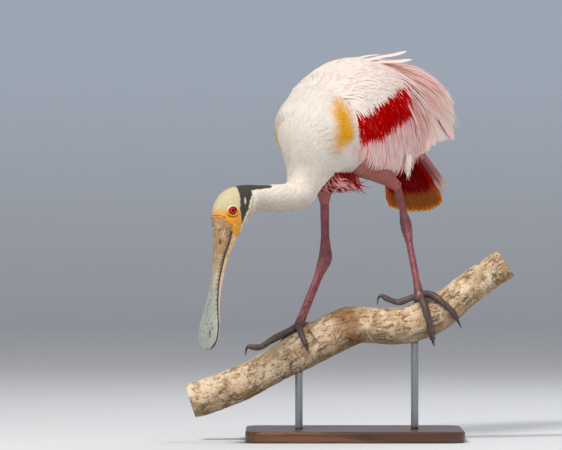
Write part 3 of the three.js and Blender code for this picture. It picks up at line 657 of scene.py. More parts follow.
lengthwise = put(tree, "CombineXYZ", {0: x, 1: times(tree, y, 0.06)}).outputs[0]
streak = times(tree, ramp(tree, cloud(tree, lengthwise, 0.9, 2.0), 0.35, 0.65), get["Streak"])
colour = layers(tree, get["Ground"], (channels[0], get["Pink"]), (streak, get["Pink"]),
                (channels[2], get["Gold"]), (channels[1], get["Crimson"]))
tone = maths(tree, "ADD", 0.68, times(tree, channels[3], 0.55))
tone = times(tree, tone, maths(tree, "ADD", 0.9, times(tree, barb, 0.2)))
grey = put(tree, "CombineColor", {0: tone, 1: tone, 2: tone}).outputs[0]
tree.links.new(blend(tree, 1.0, colour, grey, "MULTIPLY"), give["Color"])
tree.links.new(barb, give["Height"])


def plumage(name, slot, sheen=0.12, **colours):
    """A plumage material and its slot: the feather look with its own colours, a soft sheen and a little
    light let through."""
    material, tree, shader = new_material(name, 0.75, Subsurface_Weight=0.3, Subsurface_Scale=0.004,
                                          Specular_IOR_Level=sheen)
    look = put(tree, "Group", colours, node_tree=FEATHER_LOOK)
    cover(tree, shader, look.outputs["Color"], look.outputs["Height"], 0.2)
    return material, slot


WHITE = plumage("white plumage", "white_plumage", Ground="f3eade", Pink="ecbcb0", Streak=0.02, Gold="eaa416")
PINK = plumage("pink plumage", "pink_plumage", Ground="f6eae0", Pink="ee8c8a", Streak=0.1, Crimson="e03a3c")
BAR = plumage("crimson plumage", "pink_plumage", 0.02, Ground="f4a8a0", Pink="dc3438", Streak=0.1,
              Crimson="c00000")
RED = plumage("red plumage", "red_plumage", 0.03, Ground="f0b4ae", Pink="b42028", Crimson="7e0002",
              Gold="985420", Streak=0.25)
THIGH = plumage("thigh plumage", "pink_thigh", Ground="cc847c", Pink="9a4842", Streak=0.2)

# %% [markdown]
# The skin is one closed surface from the rump over the neck and the head to the bill, finer where the head
# is. It lies under the feathers by their depth and comes up to its true place where the head is bare.

# %% Skin
SKIN_RINGS = np.concatenate([
    np.linspace(0, 0.9, 12, endpoint=False), np.linspace(0.9, 16.4, 110, endpoint=False),
    np.linspace(16.4, BILL_END, 150),
])
SKIN_SIDES = 168
COAT_DEPTH = 1.8
HEAD_FROM = 14.3
place, turn = np.meshgrid(SKIN_RINGS, turns(SKIN_SIDES), indexing="ij")
skin_points = body(place, turn)

EYE_F, EYE_OUT, EYE_Z, EYE_RADIUS = 218.5, 12.4, 305.0, 6.0


def head_sheet(points):
    """f, l and z of points on the head, where the sheet is straight again."""
    origin = at(TURN_TO, 0, 0)
    x, y = (points[..., 0] - origin[0]) / MM, (points[..., 1] - origin[1]) / MM
    f = TURN_TO - x * math.cos(HEAD_YAW) - y * math.sin(HEAD_YAW)
    return f, x * math.sin(HEAD_YAW) - y * math.cos(HEAD_YAW), points[..., 2] / MM


HORN_EDGE = np.array([  # f, z
    [216, 284], [217.1, 285.2], [218.5, 285.8], [222, 288.1], [226.2, 291.4], [229.9, 294], [233.4, 296.1],
    [236.8, 297], [239.2, 295.9], [243, 294.5],
])


def head_folds(points):
    """The folds of the face, 1 along each line: under the eye, from the eye's front down to the bill, along
    the lores, and behind the corner of the mouth."""
    f, _, z = head_sheet(points)
    shake = noise(points, 0.006, 8) + 0.4 * noise(points, 0.002, 18)
    far = np.hypot(f - EYE_F, z - EYE_Z)
    low = step(EYE_Z - 1, EYE_Z - 6, z)
    under = hump(far - 7.9 + 0.4 * shake, 0.4 + 0.5 * low) * low
    lore = hump(z - 294.6 - 0.25 * (f - 224) + shake, 0.5) * step(219, 222, f) * step(231, 229, f)
    brow_line = 298.5 - 0.8 * np.maximum(0, 231.5 - f)
    brow = hump(z - brow_line + 0.5 * shake, 0.6) * step(225.5, 228, f)
    chin = hump(z - 289.5 + (f - 214.5) + shake, 0.6) * step(294, 290, z) * 0.8
    rim = hump(z - horn_top(f) - 0.2 + 0.5 * shake, 0.45) * step(216, 218, f)
    return np.clip(under + 0.6 * lore + brow + chin + 0.8 * rim, 0, 1)


def horn_top(f):
    """The height up to which the bill's horn covers the face, from the mouth corner to the front."""
    return looked_up(HORN_EDGE, f)


def horn_share(points):
    """1 where the face is covered with horn, with a ragged edge."""
    f, _, z = head_sheet(points)
    jag = 0.5 * noise(points, 0.0022, 16) + 0.3 * noise(points, 0.001, 17)
    return step(-0.3, 0.3, horn_top(f) - z + jag) * step(216.4, 217.4, f)


def head_relief(points):
    """How far the head's skin stands out: a socket and two lids round the eye, the folds and wrinkles."""
    f, _, z = head_sheet(points)
    far = np.hypot(f - EYE_F, z - EYE_Z)
    height = -3.2 * (1 - step(4.2, 5.4, far)) + 1.3 * hump(far - 6.1, 0.9)
    height -= 0.75 * head_folds(points)
    horn = horn_share(points)
    height += horn * (0.9 + 0.35 * noise(points, 0.0028, 9))
    lower = step(300, 292, z)
    height += (0.35 * noise(points, 0.0022, 10) + 0.25 * noise(points, 0.0012, 11)) * lower
    height += 0.14 * noise(points, 0.003, 12) + 0.06 * noise(points, 0.0013, 19)
    return height * step(195, 203, f)


BAND_FRONT = np.array([[288, 203], [297, 206], [307, 209.2], [314, 208.8], [325.5, 208.3], [337.5, 207.5]])
BAND_REAR = np.array([[287, 203.5], [301, 199.4], [307, 196.5], [318, 194.7], [328, 189.5], [333, 174],
                      [336.5, 152], [337.5, 149]])


def along_head(points):
    """The place along the sheet, also where it begins to turn behind the head."""
    f = head_sheet(points)[0]
    neck_f = TURN_TO - np.linalg.norm(points[..., :2] - at(TURN_TO, 0, 0)[:2], axis=-1) / MM
    return np.where(f < TURN_TO, neck_f, f)


def rear_gap(points):
    """How far a place lies behind the band's rear edge."""
    return looked_up(BAND_REAR, points[..., 2] / MM) - along_head(points)


def head_marks(points):
    """Paint of the head: pink channel is the black band, crimson its pale rim, gold the orange face, and the
    tone is painted shade in the folds and round the eye.
    """
    f, _, z = head_sheet(points)
    jag = 0.9 * noise(points, 0.0022, 13) + 0.5 * noise(points, 0.001, 14)
    front = looked_up(BAND_FRONT, z)
    along = along_head(points)
    rear = looked_up(BAND_REAR, z)
    black = step(-0.5, 0.5, front - along + jag) * step(-0.5, 0.5, along - rear + jag)
    black *= step(285.5, 287.5, z)
    ear = oval(f, z, 201.4, 318, 1.3, 4.6, 0.3)
    rim = step(-0.5, 0.5, rear - along - jag) * (1 - step(3, 6, rear - along + 2 * jag)) * step(338, 331, z)
    from_eye = np.hypot(f - EYE_F, z - EYE_Z)
    rim = np.maximum(rim, 0.9 * hump(from_eye - 6.8, 0.9) * step(EYE_Z - 1, EYE_Z + 3, z))
    orange = step(311, 297, z + 3 * noise(points, 0.006, 15)) * step(-1, 1, f - front + 0.6)
    ring = hump(from_eye - 6.5, 2.2) * step(EYE_Z + 7, EYE_Z - 2, z)
    orange = np.clip(orange + 0.6 * ring, 0, 1)
    black = black * (1 - ear)
    shadow = np.maximum(head_folds(points), 0.9 * hump(from_eye - 5.2, 0.5))
    return np.stack([black, rim, orange, 1 - shadow], axis=-1)


skin_out = facing(body, place, turn, 0.02, 0.01)
feathered = np.where(place < 14.5, 1.0, step(2.0, 6.0, rear_gap(skin_points)))
skin_points = skin_points + skin_out * (head_relief(skin_points) - COAT_DEPTH * feathered)[..., None] * MM
skin_paint = np.where((place > HEAD_FROM)[..., None], head_marks(skin_points), body_marks(skin_points))
skin = new_piece("skin", *closed_grid(skin_points), paint=ring_paint(skin_paint))
for key, values in (("bare", 1 - step(0.7, 0.95, feathered)), ("horn", horn_share(skin_points))):
    layer = skin.data.attributes.new(key, "FLOAT", "POINT")
    layer.data.foreach_set("value", np.concatenate([values.ravel(), [0, 1]]).astype(np.float32))
print("skin:", len(skin.data.vertices), "points")

# %% [markdown]
# The head is bare skin: a pale crown with a green cast, an orange face, and a black band behind them. The
# bill's horn reaches a little way up the face. The same material carries on under the feathers in their
# ground colour, so that nothing else shows where they part.

# %% Skin material
SKIN, tree, shader = new_material("bare skin", 0.55, Subsurface_Weight=0.08, Subsurface_Scale=0.002,
                                  Specular_IOR_Level=0.35)
channels = paint_parts(tree)
bare, horn = (put(tree, "Attribute", attribute_name=key).outputs["Fac"] for key in ("bare", "horn"))
patchy = cloud(tree, object_place(tree), 160.0, 5.0)
fine = cloud(tree, object_place(tree), 900.0, 4.0)
crown = blend(tree, ramp(tree, patchy, 0.35, 0.65), "c2b798", "b4af8e")
face = layers(tree, "dc981c", (ramp(tree, patchy, 0.4, 0.6), "cc861c"),
              (ramp(tree, fine, 0.5, 0.75, 0.5), "e6bc5c"), (ramp(tree, patchy, 0.5, 0.66, 0.35), "dcc090"))
base_horn = layers(tree, "b08e64", (ramp(tree, fine, 0.4, 0.64), "806040"),
                   (ramp(tree, patchy, 0.5, 0.66), "bcac92"))
black = blend(tree, ramp(tree, fine, 0.4, 0.7), "28282a", "4a484a")
# The tone channel brings painted shade, dark brown, into the folds, along the horn's edge and round the eye.
head_colour = layers(tree, crown, (channels[2], face), (channels[1], "d2cfb0"), (horn, base_horn),
                     (ramp(tree, channels[3], 0.75, 0.0), "6a3610"), (channels[0], black))
coat = layers(tree, "e9dfd2", (channels[0], "e8b8b0"), (channels[2], "e3ab3c"))
height = maths(tree, "ADD", fine, times(tree, patchy, 0.5))
cover(tree, shader, blend(tree, bare, coat, head_colour), height, 0.25)
belong(skin, SKIN, "bare_head", "torso", "neck_lower", "neck_upper", "head")

# %% [markdown]
# Small contour feathers cover the trunk and the neck like tiles, each over the next one towards the tail.
# They are short and ruffled on the neck, and long and flat on the back and the breast.

# %% Coat of the body and the neck


def way_back(v, tilt):
    """Heading on the body: back towards the rump, and down the sides by the tilt."""
    down = np.sin(v) * np.sin(tilt)
    return -np.sqrt(np.maximum(1 - down**2, 0.05)), down


def bake_place(u, v, u_range, v_range, box=(0.01, 0.01, 0.98, 0.98)):
    """The root's place on the unwrap: both parameters as shares of their range, inside a box of the map."""
    x0, y0, wide, high = box
    share_u = (u - u_range[0]) / (u_range[1] - u_range[0])
    share_v = (v - v_range[0]) / (v_range[1] - v_range[0])
    return np.stack([x0 + wide * np.clip(share_u, 0, 1), y0 + high * np.clip(share_v, 0, 1)], axis=-1)


def shade(paint, dark):
    """Painted shade: the tone is darker at the covered roots."""
    paint = paint.copy()
    paint[..., 3] = np.clip(paint[..., 3] - dark * (1 - np.linspace(0, 1, paint.shape[1])) ** 1.5, 0, 1)
    return paint


def fullness(u, v):
    """How much higher the coat stands: a swelling on the right shoulder, less a hollow behind the neck."""
    swelling = 3.6 * np.exp(-(((u - 7.0) / 1.7) ** 2) - ((np.mod(v, 2 * np.pi) - 5.4) / 0.75) ** 2)
    return swelling - 1.3 * hump(u - 9.0, 0.5)


def body_coat(name, us, spacing, size, length, lifts, look, tilt, seed, keep=None, spread=0.16):
    """One region of contour feathers over the body's surface, in rows across it."""
    rng = np.random.default_rng(seed)
    u, v = rows_of_roots(body, us, lambda _: 0.0, lambda _: 2 * np.pi, spacing, rng)
    u = u + rng.uniform(-0.3, 0.3, len(u)) * (us[1] - us[0])
    if keep is not None:
        chosen = keep(u, v)
        u, v = u[chosen], v[chosen]
    heading = way_back(v, tilt)
    turn_by = rng.normal(0, spread, len(u))
    heading = (heading[0] * np.cos(turn_by), heading[1] * np.cos(turn_by) + np.sin(turn_by))
    long = length * rng.uniform(0.8, 1.2, len(u)) * MM
    full = fullness(u, v)
    lifts = (lifts[0] + full, lifts[1] + full + 0.12 * rng.normal(0, 1, len(u)))
    path, out = lay(body, u, v, (0.02, 0.01), heading, long, lifts, look["steps"])[:2]
    paint = shade(body_marks(path), 0.16)
    paint[..., 3] += rng.normal(0, 0.022, (len(u), 1))
    half = widths("body", size / 2 * rng.uniform(0.8, 1.2, len(u)), look["steps"])
    bake = bake_place(u, np.mod(v, 2 * np.pi), (0, BILL_END), (0, 2 * np.pi))
    vanes(name, path, out, half, bake, paint, look, seed, WHITE)


def outside_wings(u, v):
    """True where the cloaks don't cover the trunk: in front of them, and along the belly."""
    f, _, z = sheet_place(body(u, v))
    return (f > 38) | (z < 395) | (f < -118)


def behind_band(u, v):
    """True on the neck up to the pale rim behind the black band."""
    return (rear_gap(body(u, v)) > 3.6) | (u < 14.5)


BODY_LOOK = {"columns": 5, "steps": 4, "teeth": 0.9, "ragged": 0.5, "camber": 0.08,
             "thick": 0.05, "sweep": 0.5}
NECK_LOOK = {"columns": 5, "steps": 4, "teeth": 0.5, "ragged": 0.3, "camber": 0.2,
             "thick": 0.06, "sweep": 0.4}
TRUNK_ROWS = np.arange(0.15, 10.4, 0.075)
for name, rows, seed in (("coat_back", TRUNK_ROWS[:88], 31), ("coat_breast", TRUNK_ROWS[88:], 34)):
    body_coat(name, rows, 4.2, 5.6, 24, (-1.3, 0.7), BODY_LOOK, 0.55, seed, outside_wings, spread=0.1)
body_coat("coat_neck", np.arange(9.8, 15.6, 0.055), 3.6, 5.4, 9.5, (-1.6, 1.1), NECK_LOOK, 0.25, 32,
          spread=0.3)
body_coat("coat_nape", np.arange(15.6, 19.2, 0.045), 2.6, 3.6, 6.0, (-1.4, 0.45), NECK_LOOK, 0.25, 33,
          behind_band, spread=0.3)

# %% [markdown]
# Under the wing feathers lies a plain sheet, so that no gap shows the inside. It is a closed shell between
# two heights over the cloak, from the bend of the wing back over the rump.

# %% Wing beds
BED_FRONT, BED_REAR, BED_TOP = 61.0, -112.0, 91.0
BED_OUTER, BED_INNER = 1.4, -10.0
BED_ROWS, BED_SIDES = 70, 40
for name in SIDES:
    f_line = np.linspace(BED_FRONT, BED_REAR, BED_ROWS)[:, None]
    share = np.linspace(0, 1, BED_SIDES)
    edge_low = np.interp(-f_line, [-BED_FRONT, -44, -20, 40, -BED_REAR], [-12, -30, -46, -42, 6])
    angles = edge_low + (BED_TOP - edge_low) * share
    fade = 1 - 0.8 * np.abs(np.linspace(-1, 1, BED_ROWS)[:, None]) ** 6
    rim = 1 - np.abs(2 * share - 1) ** 8
    low = BED_INNER - 3.4 * step(44, 60, f_line)
    outer = CLOAKS[name](f_line, angles, low + (BED_OUTER - BED_INNER) * fade * rim)
    inner = CLOAKS[name](f_line, angles, low)
    grid = np.concatenate([outer, inner[:, ::-1]], axis=1)
    closed_piece(f"wing_bed_{name}", grid, *PINK, f"wing_{name}", paint=[0.3, 0, 0, 0.6])

# %% [markdown]
# The long feathers of a folded wing lie in tiers: primaries that reach past the tail, secondaries that hang
# along the side, tertials over the back, and the larger coverts over their roots.

# %% Long wing feathers
TIERS = {  # count, width, bend, bow, pink, the first and last root and tip, each as f, angle and lift
    "primaries": (9, 22, -4, 0, 0.3, [[-10, 5, -4], [-54, 15, -2]], [[-257, 3, -5], [-207, -8, -1]]),
    "secondaries": (15, 21, -2, -22, 0.55, [[46, -8, -0.5], [-60, 18, -0.5]], [[38, -44, 2], [-76, -46, 2]]),
    "inner secondaries": (8, 22, -3, 0, 0.5, [[-62, 18, -0.5], [-78, 40, -0.5]],
                          [[-90, -40, 2], [-172, -14, 2]]),
    "tertials": (14, 21, 3, 0, 0.5, [[-66, 42, -0.5], [-62, 82, -0.5]], [[-226, -4, 2], [-240, 76, 9]]),
    "coverts": (20, 15, -2, -8, 0.5, [[50, -8, 0.6], [-72, 24, 0.6]], [[42, -36, 1.4], [-118, -16, 1.4]]),
    "scapulars": (12, 19, 2, 0, 0.25, [[14, 36, 1.0], [4, 84, 1.0]], [[-84, 36, 4.5], [-146, 84, 9]]),
}
LONG_LOOK = {"columns": 9, "steps": 17, "teeth": 1.2, "ragged": 0.7, "camber": 0.16, "thick": 0.3,
             "sweep": 0.55, "keel": 0.35, "split": 0.05}
LONG_S = np.linspace(0, 1, LONG_LOOK["steps"])
WING_UNWRAP = ((-130, 80), (-50, 95))


def between(first, last, share):
    """Even steps between two numbers or rows of numbers, along a new axis before the last."""
    first, last = np.asarray(first, float), np.asarray(last, float)
    return first[..., None, :] * (1 - share)[:, None] + last[..., None, :] * share[:, None]


def over(surface, u, v, lift):
    """A path at a height over a surface, and the surface's outward direction along it."""
    out = facing(surface, u, v, 1.0, 1.0)
    return surface(u, v, 0) + out * lift[..., None] * MM, out


def tier(name, side, rng):
    """Paths, out directions, half widths, places on the unwrap and paint of one tier of one wing."""
    count, wide, bend, bow, pink, root, tip = TIERS[name]
    share = np.linspace(0, 1, count)
    start, end = between(*root, share), between(*tip, share)
    end[:, 1] += bow * np.sin(np.pi * share)
    end = end + rng.normal(0, 1, end.shape) * [2.5, 1.0, 0.25]
    way = between(start, end, LONG_S)
    angle = way[..., 1] + bend * np.sin(np.pi * LONG_S)
    lift = way[..., 2] + 0.35 * (np.arange(count) % 2)[:, None] * LONG_S
    path, out = over(CLOAKS[side], way[..., 0], angle, lift)
    # Painted shade: the tone is darker towards each feather's covered root.
    paint = mixed(angle.shape, pink * (1 - 0.25 * LONG_S) + rng.normal(0, 0.05, (count, 1)),
                  tone=0.6 - 0.2 * (1 - LONG_S) ** 2 + rng.normal(0, 0.05, (count, 1)))
    half = widths("long", np.full(count, wide / 2), len(LONG_S))
    box = (0.01 if side == "left" else 0.51, 0.01, 0.48, 0.98)
    return path, out, half, bake_place(start[:, 0], start[:, 1], (-110, 80), (-50, 95), box), paint


for name, side in SIDES.items():
    rng = np.random.default_rng(41 + side)
    tiers = [tier(key, name, rng) for key in TIERS]
    joined = [np.concatenate(column) for column in zip(*tiers)]
    vanes(f"wing_vanes_{name}", *joined, LONG_LOOK, 42 + side, PINK)

# %% [markdown]
# Over the tiers lie the small coverts. From the nape over the shoulders they are white and silky, with a
# faint crease, pink and with painted shade, where the scapulars begin. The crimson bar is made of narrow
# pointed feathers, and below it long loose strands hang down over the secondaries.

# %% Small coverts of the wings


def wing_lie(angle):
    """How far the lie turns from straight back to straight down: little on the back, most at the edge."""
    return np.radians(np.interp(angle, [-30, 0, 30, 55, 85], [76, 70, 54, 24, 3]))


def raised(f, low, high):
    """A height over the wing that starts from the level of the body's coat at the front edge."""
    return low + (high - low) * step(64, 34, f)


def cloak_coat(name, surface, roots, size, length, lifts, look, shape, paint_of, finish, rough, seed):
    """Feathers over a cloak. The heading is back along f and down along the angle, by the lie. Height at
    the root and the tip is given at the front edge and behind it."""
    rng = np.random.default_rng(seed)
    f, angle = roots
    lie = wing_lie(angle) + rng.normal(0, rough, len(f))
    long = length * rng.uniform(0.75, 1.25, len(f))
    full = 1.7 * step(25, 60, angle) * step(-160, -60, f)
    low = raised(f, *lifts[0]) + full
    high = raised(f - 0.5 * long, *lifts[1]) + full + 1.2 * rough * rng.normal(0, 1, len(f))
    path, out, fs, angles = lay(surface, f, angle, (1.0, 1.0), (-np.cos(lie), -np.sin(lie)), long * MM,
                                (low, high), look["steps"], droop=0.15)
    paint = paint_of(fs, angles, rng)
    half = widths(shape, size / 2 * rng.uniform(0.75, 1.25, len(f)), look["steps"])
    vanes(name, path, out, half, bake_place(f, angle, *WING_UNWRAP), paint, look, seed, finish)


def scattered(surface, f_range, spacing, low, high, seed):
    """Roots in rows over a cloak between two angles that depend on f."""
    rng = np.random.default_rng(seed)
    us = np.arange(f_range[0], f_range[1], -spacing[0])
    f, angle = rows_of_roots(surface, us, low, high, spacing[1], rng)
    return f + rng.uniform(-0.4, 0.4, len(f)) * spacing[0], angle


def unlike(fs, rng):
    """One random number for each feather, mostly within 1 of 0."""
    return rng.normal(0, 1, (len(fs), 1))


def pale_paint(fs, angles, rng):
    """Pale coverts: white in front of the crease, pink and with painted shade along it, then ever more pink
    towards the tail.
    """
    line = hump(angles - edge_at(CREASE, fs) + 1, 1) * step(56, 46, fs) * step(-34, -14, fs)
    pink = (0.01 + 0.12 * step(20, -40, fs) + 0.2 * step(-20, -120, fs)) * (1 + 0.2 * unlike(fs, rng))
    # Painted shade along the crease: the tone is darker there.
    tone = 0.56 + 0.025 * unlike(fs, rng) - 0.1 * line
    return shade(mixed(fs.shape, np.clip(pink + 0.5 * line, 0, 1), tone=tone), 0.1)


def bar_paint(fs, angles, rng):
    """Crimson feathers, some a little lighter, paler at the tips that reach over the pink."""
    past = step(0, 14, edge_at(BAR_LOW, fs) - angles)
    crimson = 1.0 - 0.3 * (rng.uniform(0, 1, (len(fs), 1)) > 0.9) - 0.45 * past
    return shade(mixed(fs.shape, 0.8, np.clip(crimson, 0, 1), tone=0.5 + 0.1 * unlike(fs, rng)), 0.1)


def hang_paint(fs, angles, rng):
    """Hanging strands: each one white, pink or a deeper pink, more pink near the bar."""
    near = step(-26, 0, angles - edge_at(BAR_LOW, fs))
    pink = rng.choice([0.15, 0.3, 0.5, 0.9], (len(fs), 1), p=[0.28, 0.36, 0.26, 0.1]) + 0.3 * near
    crimson = 0.4 * near * (rng.uniform(0, 1, (len(fs), 1)) > 0.82)
    return shade(mixed(fs.shape, np.clip(pink, 0, 1), crimson, tone=0.66 + 0.05 * unlike(fs, rng)), 0.0)


def streaming_paint(fs, angles, rng):
    """Long rear plumes: pale, with some deep pink ones between."""
    pink = rng.choice([0.1, 0.35, 0.6, 1.0], (len(fs), 1), p=[0.3, 0.35, 0.2, 0.15])
    return shade(mixed(fs.shape, pink, tone=0.62 + 0.07 * unlike(fs, rng)), 0.0)


STRAND_LOOK = {"columns": 3, "steps": 6, "ragged": 0.3, "camber": 0.35, "thick": 0.1, "sweep": 0.3}
SILK_LOOK = {"columns": 5, "steps": 5, "teeth": 1.0, "ragged": 0.6, "camber": 0.08,
             "thick": 0.05, "sweep": 0.5}
LONG_STRAND_LOOK = {**STRAND_LOOK, "steps": 8, "ragged": 0.4}
COATS = {  # seed, range of f, spacings, lowest and highest angle
    # and width, length, lifts, look, shape, paint, finish and disorder
    "coverts_pale": (
        51, (66, -112), (4.4, 3.9), lambda f: max(edge_at(BAR_TOP, f) + 3, 46 if f > 58 else -9),
        lambda f: 88.5,
        6.0, 28, ((-1.4, 2.0), (0.4, 3.0)), SILK_LOOK, "body", pale_paint, PINK, 0.035),
    "coverts_edge": (
        57, (59, -100), (3.0, 5.0), lambda f: edge_at(BAR_TOP, f) + 2, lambda f: edge_at(BAR_TOP, f) + 9,
        2.6, 15, ((-0.6, 2.8), (1.2, 4.2)), STRAND_LOOK, "pointed", pale_paint, PINK, 0.12),
    "coverts_crimson": (
        53, (61, -94), (1.7, 3.4), lambda f: edge_at(BAR_LOW, f) + 9, lambda f: edge_at(BAR_TOP, f) + 3,
        2.5, 19, ((-0.8, 2.4), (1.6, 4.4)), STRAND_LOOK, "pointed", bar_paint, BAR, 0.1),
    "coverts_hanging": (
        55, (58, -106), (2.0, 6.0), lambda f: edge_at(HANG_LOW, f), lambda f: edge_at(BAR_LOW, f) + 12,
        1.8, 38, ((-0.8, 2.6), (2.6, 4.4)), LONG_STRAND_LOOK, "strand", hang_paint, PINK, 0.07),
    "plumes_rear": (
        59, (-40, -150), (6.0, 5.0), lambda f: np.interp(-f, [40, 150], [22, 52]), lambda f: 86,
        2.4, 84, ((2.6, 2.6), (10.0, 10.0)), LONG_STRAND_LOOK, "strand", streaming_paint, PINK, 0.06),
}
for name, side in SIDES.items():
    for coat_name, (seed, *row) in COATS.items():
        roots = scattered(CLOAKS[name], *row[:4], seed + side)
        cloak_coat(f"{coat_name}_{name}", CLOAKS[name], roots, *row[4:], seed + 1 + side)

# %% [markdown]
# Three slim soft plumes of each shoulder stand up over the back, the near ones more than the far ones.

# %% Shoulder plumes
PLUMES = np.array([  # root f, angle and lift, tip f, angle and lift, width
    [-4, 72, 2.0, -97, 68, 23, 8], [-14, 66, 2.0, -100, 61, 17, 8], [6, 80, 2.0, -72, 82, 8, 7],
])
for name, side in SIDES.items():
    raise_by = 1.0 if side > 0 else 0.3
    way = between(PLUMES[:, :2], PLUMES[:, 3:5], LONG_S)
    lift = PLUMES[:, 2:3] + 3.4 * LONG_S + raise_by * PLUMES[:, 5:6] * LONG_S**1.6
    path, out = over(CLOAKS[name], way[..., 0], way[..., 1], lift)
    vanes(f"shoulder_plumes_{name}", path, out, widths("long", PLUMES[:, 6] / 2, len(LONG_S)),
          bake_place(PLUMES[:, 0], PLUMES[:, 1], *WING_UNWRAP), mixed(lift.shape, 0.3, tone=0.52), LONG_LOOK,
          75 + side, PINK)

# %% [markdown]
# The tail hangs down behind, spread a little, and shows its underside. Twelve broad feathers end in ochre,
# and long loose crimson coverts lie over their roots from both sides. A fringe of pink strands falls beside
# them.

# %% Tail
TAIL_ROOT, TAIL_TIP = (-132.0, 398.0), (-176.0, 305.0)
TAIL_SPREAD, TAIL_TURN, TAIL_ROOT_SPREAD, TAIL_CUP = 19.0, 6.0, 10.0, 3.0
TAIL_START = -0.16


def tail_point(across, along, lift=0.0):
    """A point of the fan: reach along a direction that turns with the way across, cupped forward."""
    across, along, lift = np.broadcast_arrays(across, along, np.asarray(lift, float))
    df, dz = TAIL_TIP[0] - TAIL_ROOT[0], TAIL_TIP[1] - TAIL_ROOT[1]
    long = math.hypot(df, dz)
    df, dz = df / long, dz / long
    angle = np.radians(TAIL_SPREAD * across + TAIL_TURN)
    reach = along * long
    l = TAIL_ROOT_SPREAD * across + reach * np.sin(angle)
    down = reach * np.cos(angle)
    out = lift + TAIL_CUP * across**2 * along
    return at(TAIL_ROOT[0] + df * down - dz * out, l, TAIL_ROOT[1] + dz * down + df * out)


def on_fan(name, across, along, high, face, *rest):
    """Vanes on the fan at a height over it. face is 1 for those that face as the fan does, else -1."""
    out = face * facing(tail_point, across, along, 0.02, 0.02)
    vanes(name, tail_point(across, along, high), out, *rest)


rng = np.random.default_rng(61)
COUNT, WIDE = 12, 19
TAIL_LOOK = {**LONG_LOOK, "teeth": 0.35, "ragged": 0.35}
across = np.linspace(-1, 1, COUNT) + rng.normal(0, 0.01, COUNT)
rank = np.abs(np.arange(COUNT) - (COUNT - 1) / 2)
along = TAIL_START + (1 - 0.07 * across**2 - TAIL_START)[:, None] * LONG_S
high = (rank * 8.0 / COUNT)[:, None] * np.minimum(1, 0.5 + 1.5 * LONG_S)
ochre = step(0.66, 0.8, LONG_S + rng.normal(0, 0.035, (COUNT, 1)))
paint = mixed(along.shape, 1.0, 0.85 * (1 - ochre), ochre, 0.5 + rng.normal(0, 0.06, (COUNT, 1)))
half = widths("long", WIDE / 2 * rng.uniform(0.9, 1.1, COUNT), len(LONG_S))
bake = bake_place(across, np.full(COUNT, 0.3), (-1.1, 1.1), (0, 1))
on_fan("tail_vanes", across[:, None], along, high, 1, half, bake, paint, TAIL_LOOK, 62, RED, "tail")


def loose_coverts(name, count, reach, lifts, seed, wide):
    """Loose crimson coverts over the tail's root: narrow strands that start here and there on the fan."""
    rng = np.random.default_rng(seed)
    across = rng.uniform(-0.95, 0.95, count)
    start = rng.uniform(TAIL_START, reach * 0.55, count)
    end = np.minimum(start + rng.uniform(0.25, 0.42, count), reach + rng.normal(0, 0.05, count))
    s = np.linspace(0, 1, STRAND_LOOK["steps"])
    aside = across[:, None] * (1 + 0.06 * s) + rng.normal(0, 0.02, (count, 1)) * s
    along = start[:, None] + (end - start)[:, None] * s
    rank = (reach - start)[:, None] / (reach - TAIL_START)
    high = lifts[0] + (lifts[1] - lifts[0]) * (0.3 + 0.7 * rank) * s**0.7
    face = 1 if lifts[1] > 0 else -1
    crimson = np.where(rng.uniform(0, 1, (count, 1)) > 0.3, 0.95, 0.35)
    paint = shade(mixed(along.shape, 1.0, crimson, tone=0.5 + rng.normal(0, 0.12, (count, 1))), 0.2)
    half = widths("strand", wide / 2 * rng.uniform(0.7, 1.3, count), len(s))
    bake = bake_place(across, start, (-1.1, 1.1), (-0.2, 1), (0.01, 0.01, 0.98, 0.48 if face > 0 else 0.98))
    on_fan(name, aside, along, high, face, half, bake, paint, STRAND_LOOK, seed, RED)


loose_coverts("tail_coverts_under", 900, 0.72, (3.0, 9.5), 63, 3.4)
loose_coverts("tail_coverts_upper", 500, 0.6, (-6.0, -10.5), 64, 5.0)

COUNT = 340
rng = np.random.default_rng(65)
start = rng.uniform(TAIL_START, 0.2, COUNT)
end = start + rng.uniform(0.35, 0.7, COUNT)
s = np.linspace(0, 1, LONG_STRAND_LOOK["steps"])
aside = rng.uniform(0.7, 2.35, COUNT)[:, None]
aside = aside + (0.15 - 0.62 * np.maximum(0, aside - 0.9)) * s
along = start[:, None] + (end - start)[:, None] * s
paint = mixed(along.shape, rng.choice([0.15, 0.4, 0.8], (COUNT, 1), p=[0.4, 0.35, 0.25]),
              0.4 * (rng.uniform(0, 1, (COUNT, 1)) > 0.7), tone=0.6 + rng.normal(0, 0.08, (COUNT, 1)))
bake = bake_place(aside[:, 0], start, (-1.1, 2.4), (-0.2, 1))
half = widths("strand", rng.uniform(0.6, 1.1, COUNT), len(s))
on_fan("tail_fringe", aside, along, -3.0 - 3.0 * s, -1, half, bake, paint, LONG_STRAND_LOOK, 66, RED)

# %% [markdown]
# The thighs are covered with short, smooth pink feathers. A tube with the leg's own sizes carries them, and
# the feathers lie down along it.

# %% Thighs
LEGS = {
    "left": {"knee": (2, -12, 392), "cuff": (69.6, 16, 337.8), "heel": (81.4, 40, 287.5),
             "foot": (97.2, -4, 197.4), "fore": (0.15, -1, 0.3), "drum": 27},
    "right": {"knee": (-30, 6, 380), "cuff": (-27.6, 33, 318), "heel": (-26.2, 41, 241.9),
              "foot": (-61.7, 3, 153.8), "fore": (-1, -0.25, 0), "drum": 20},
}


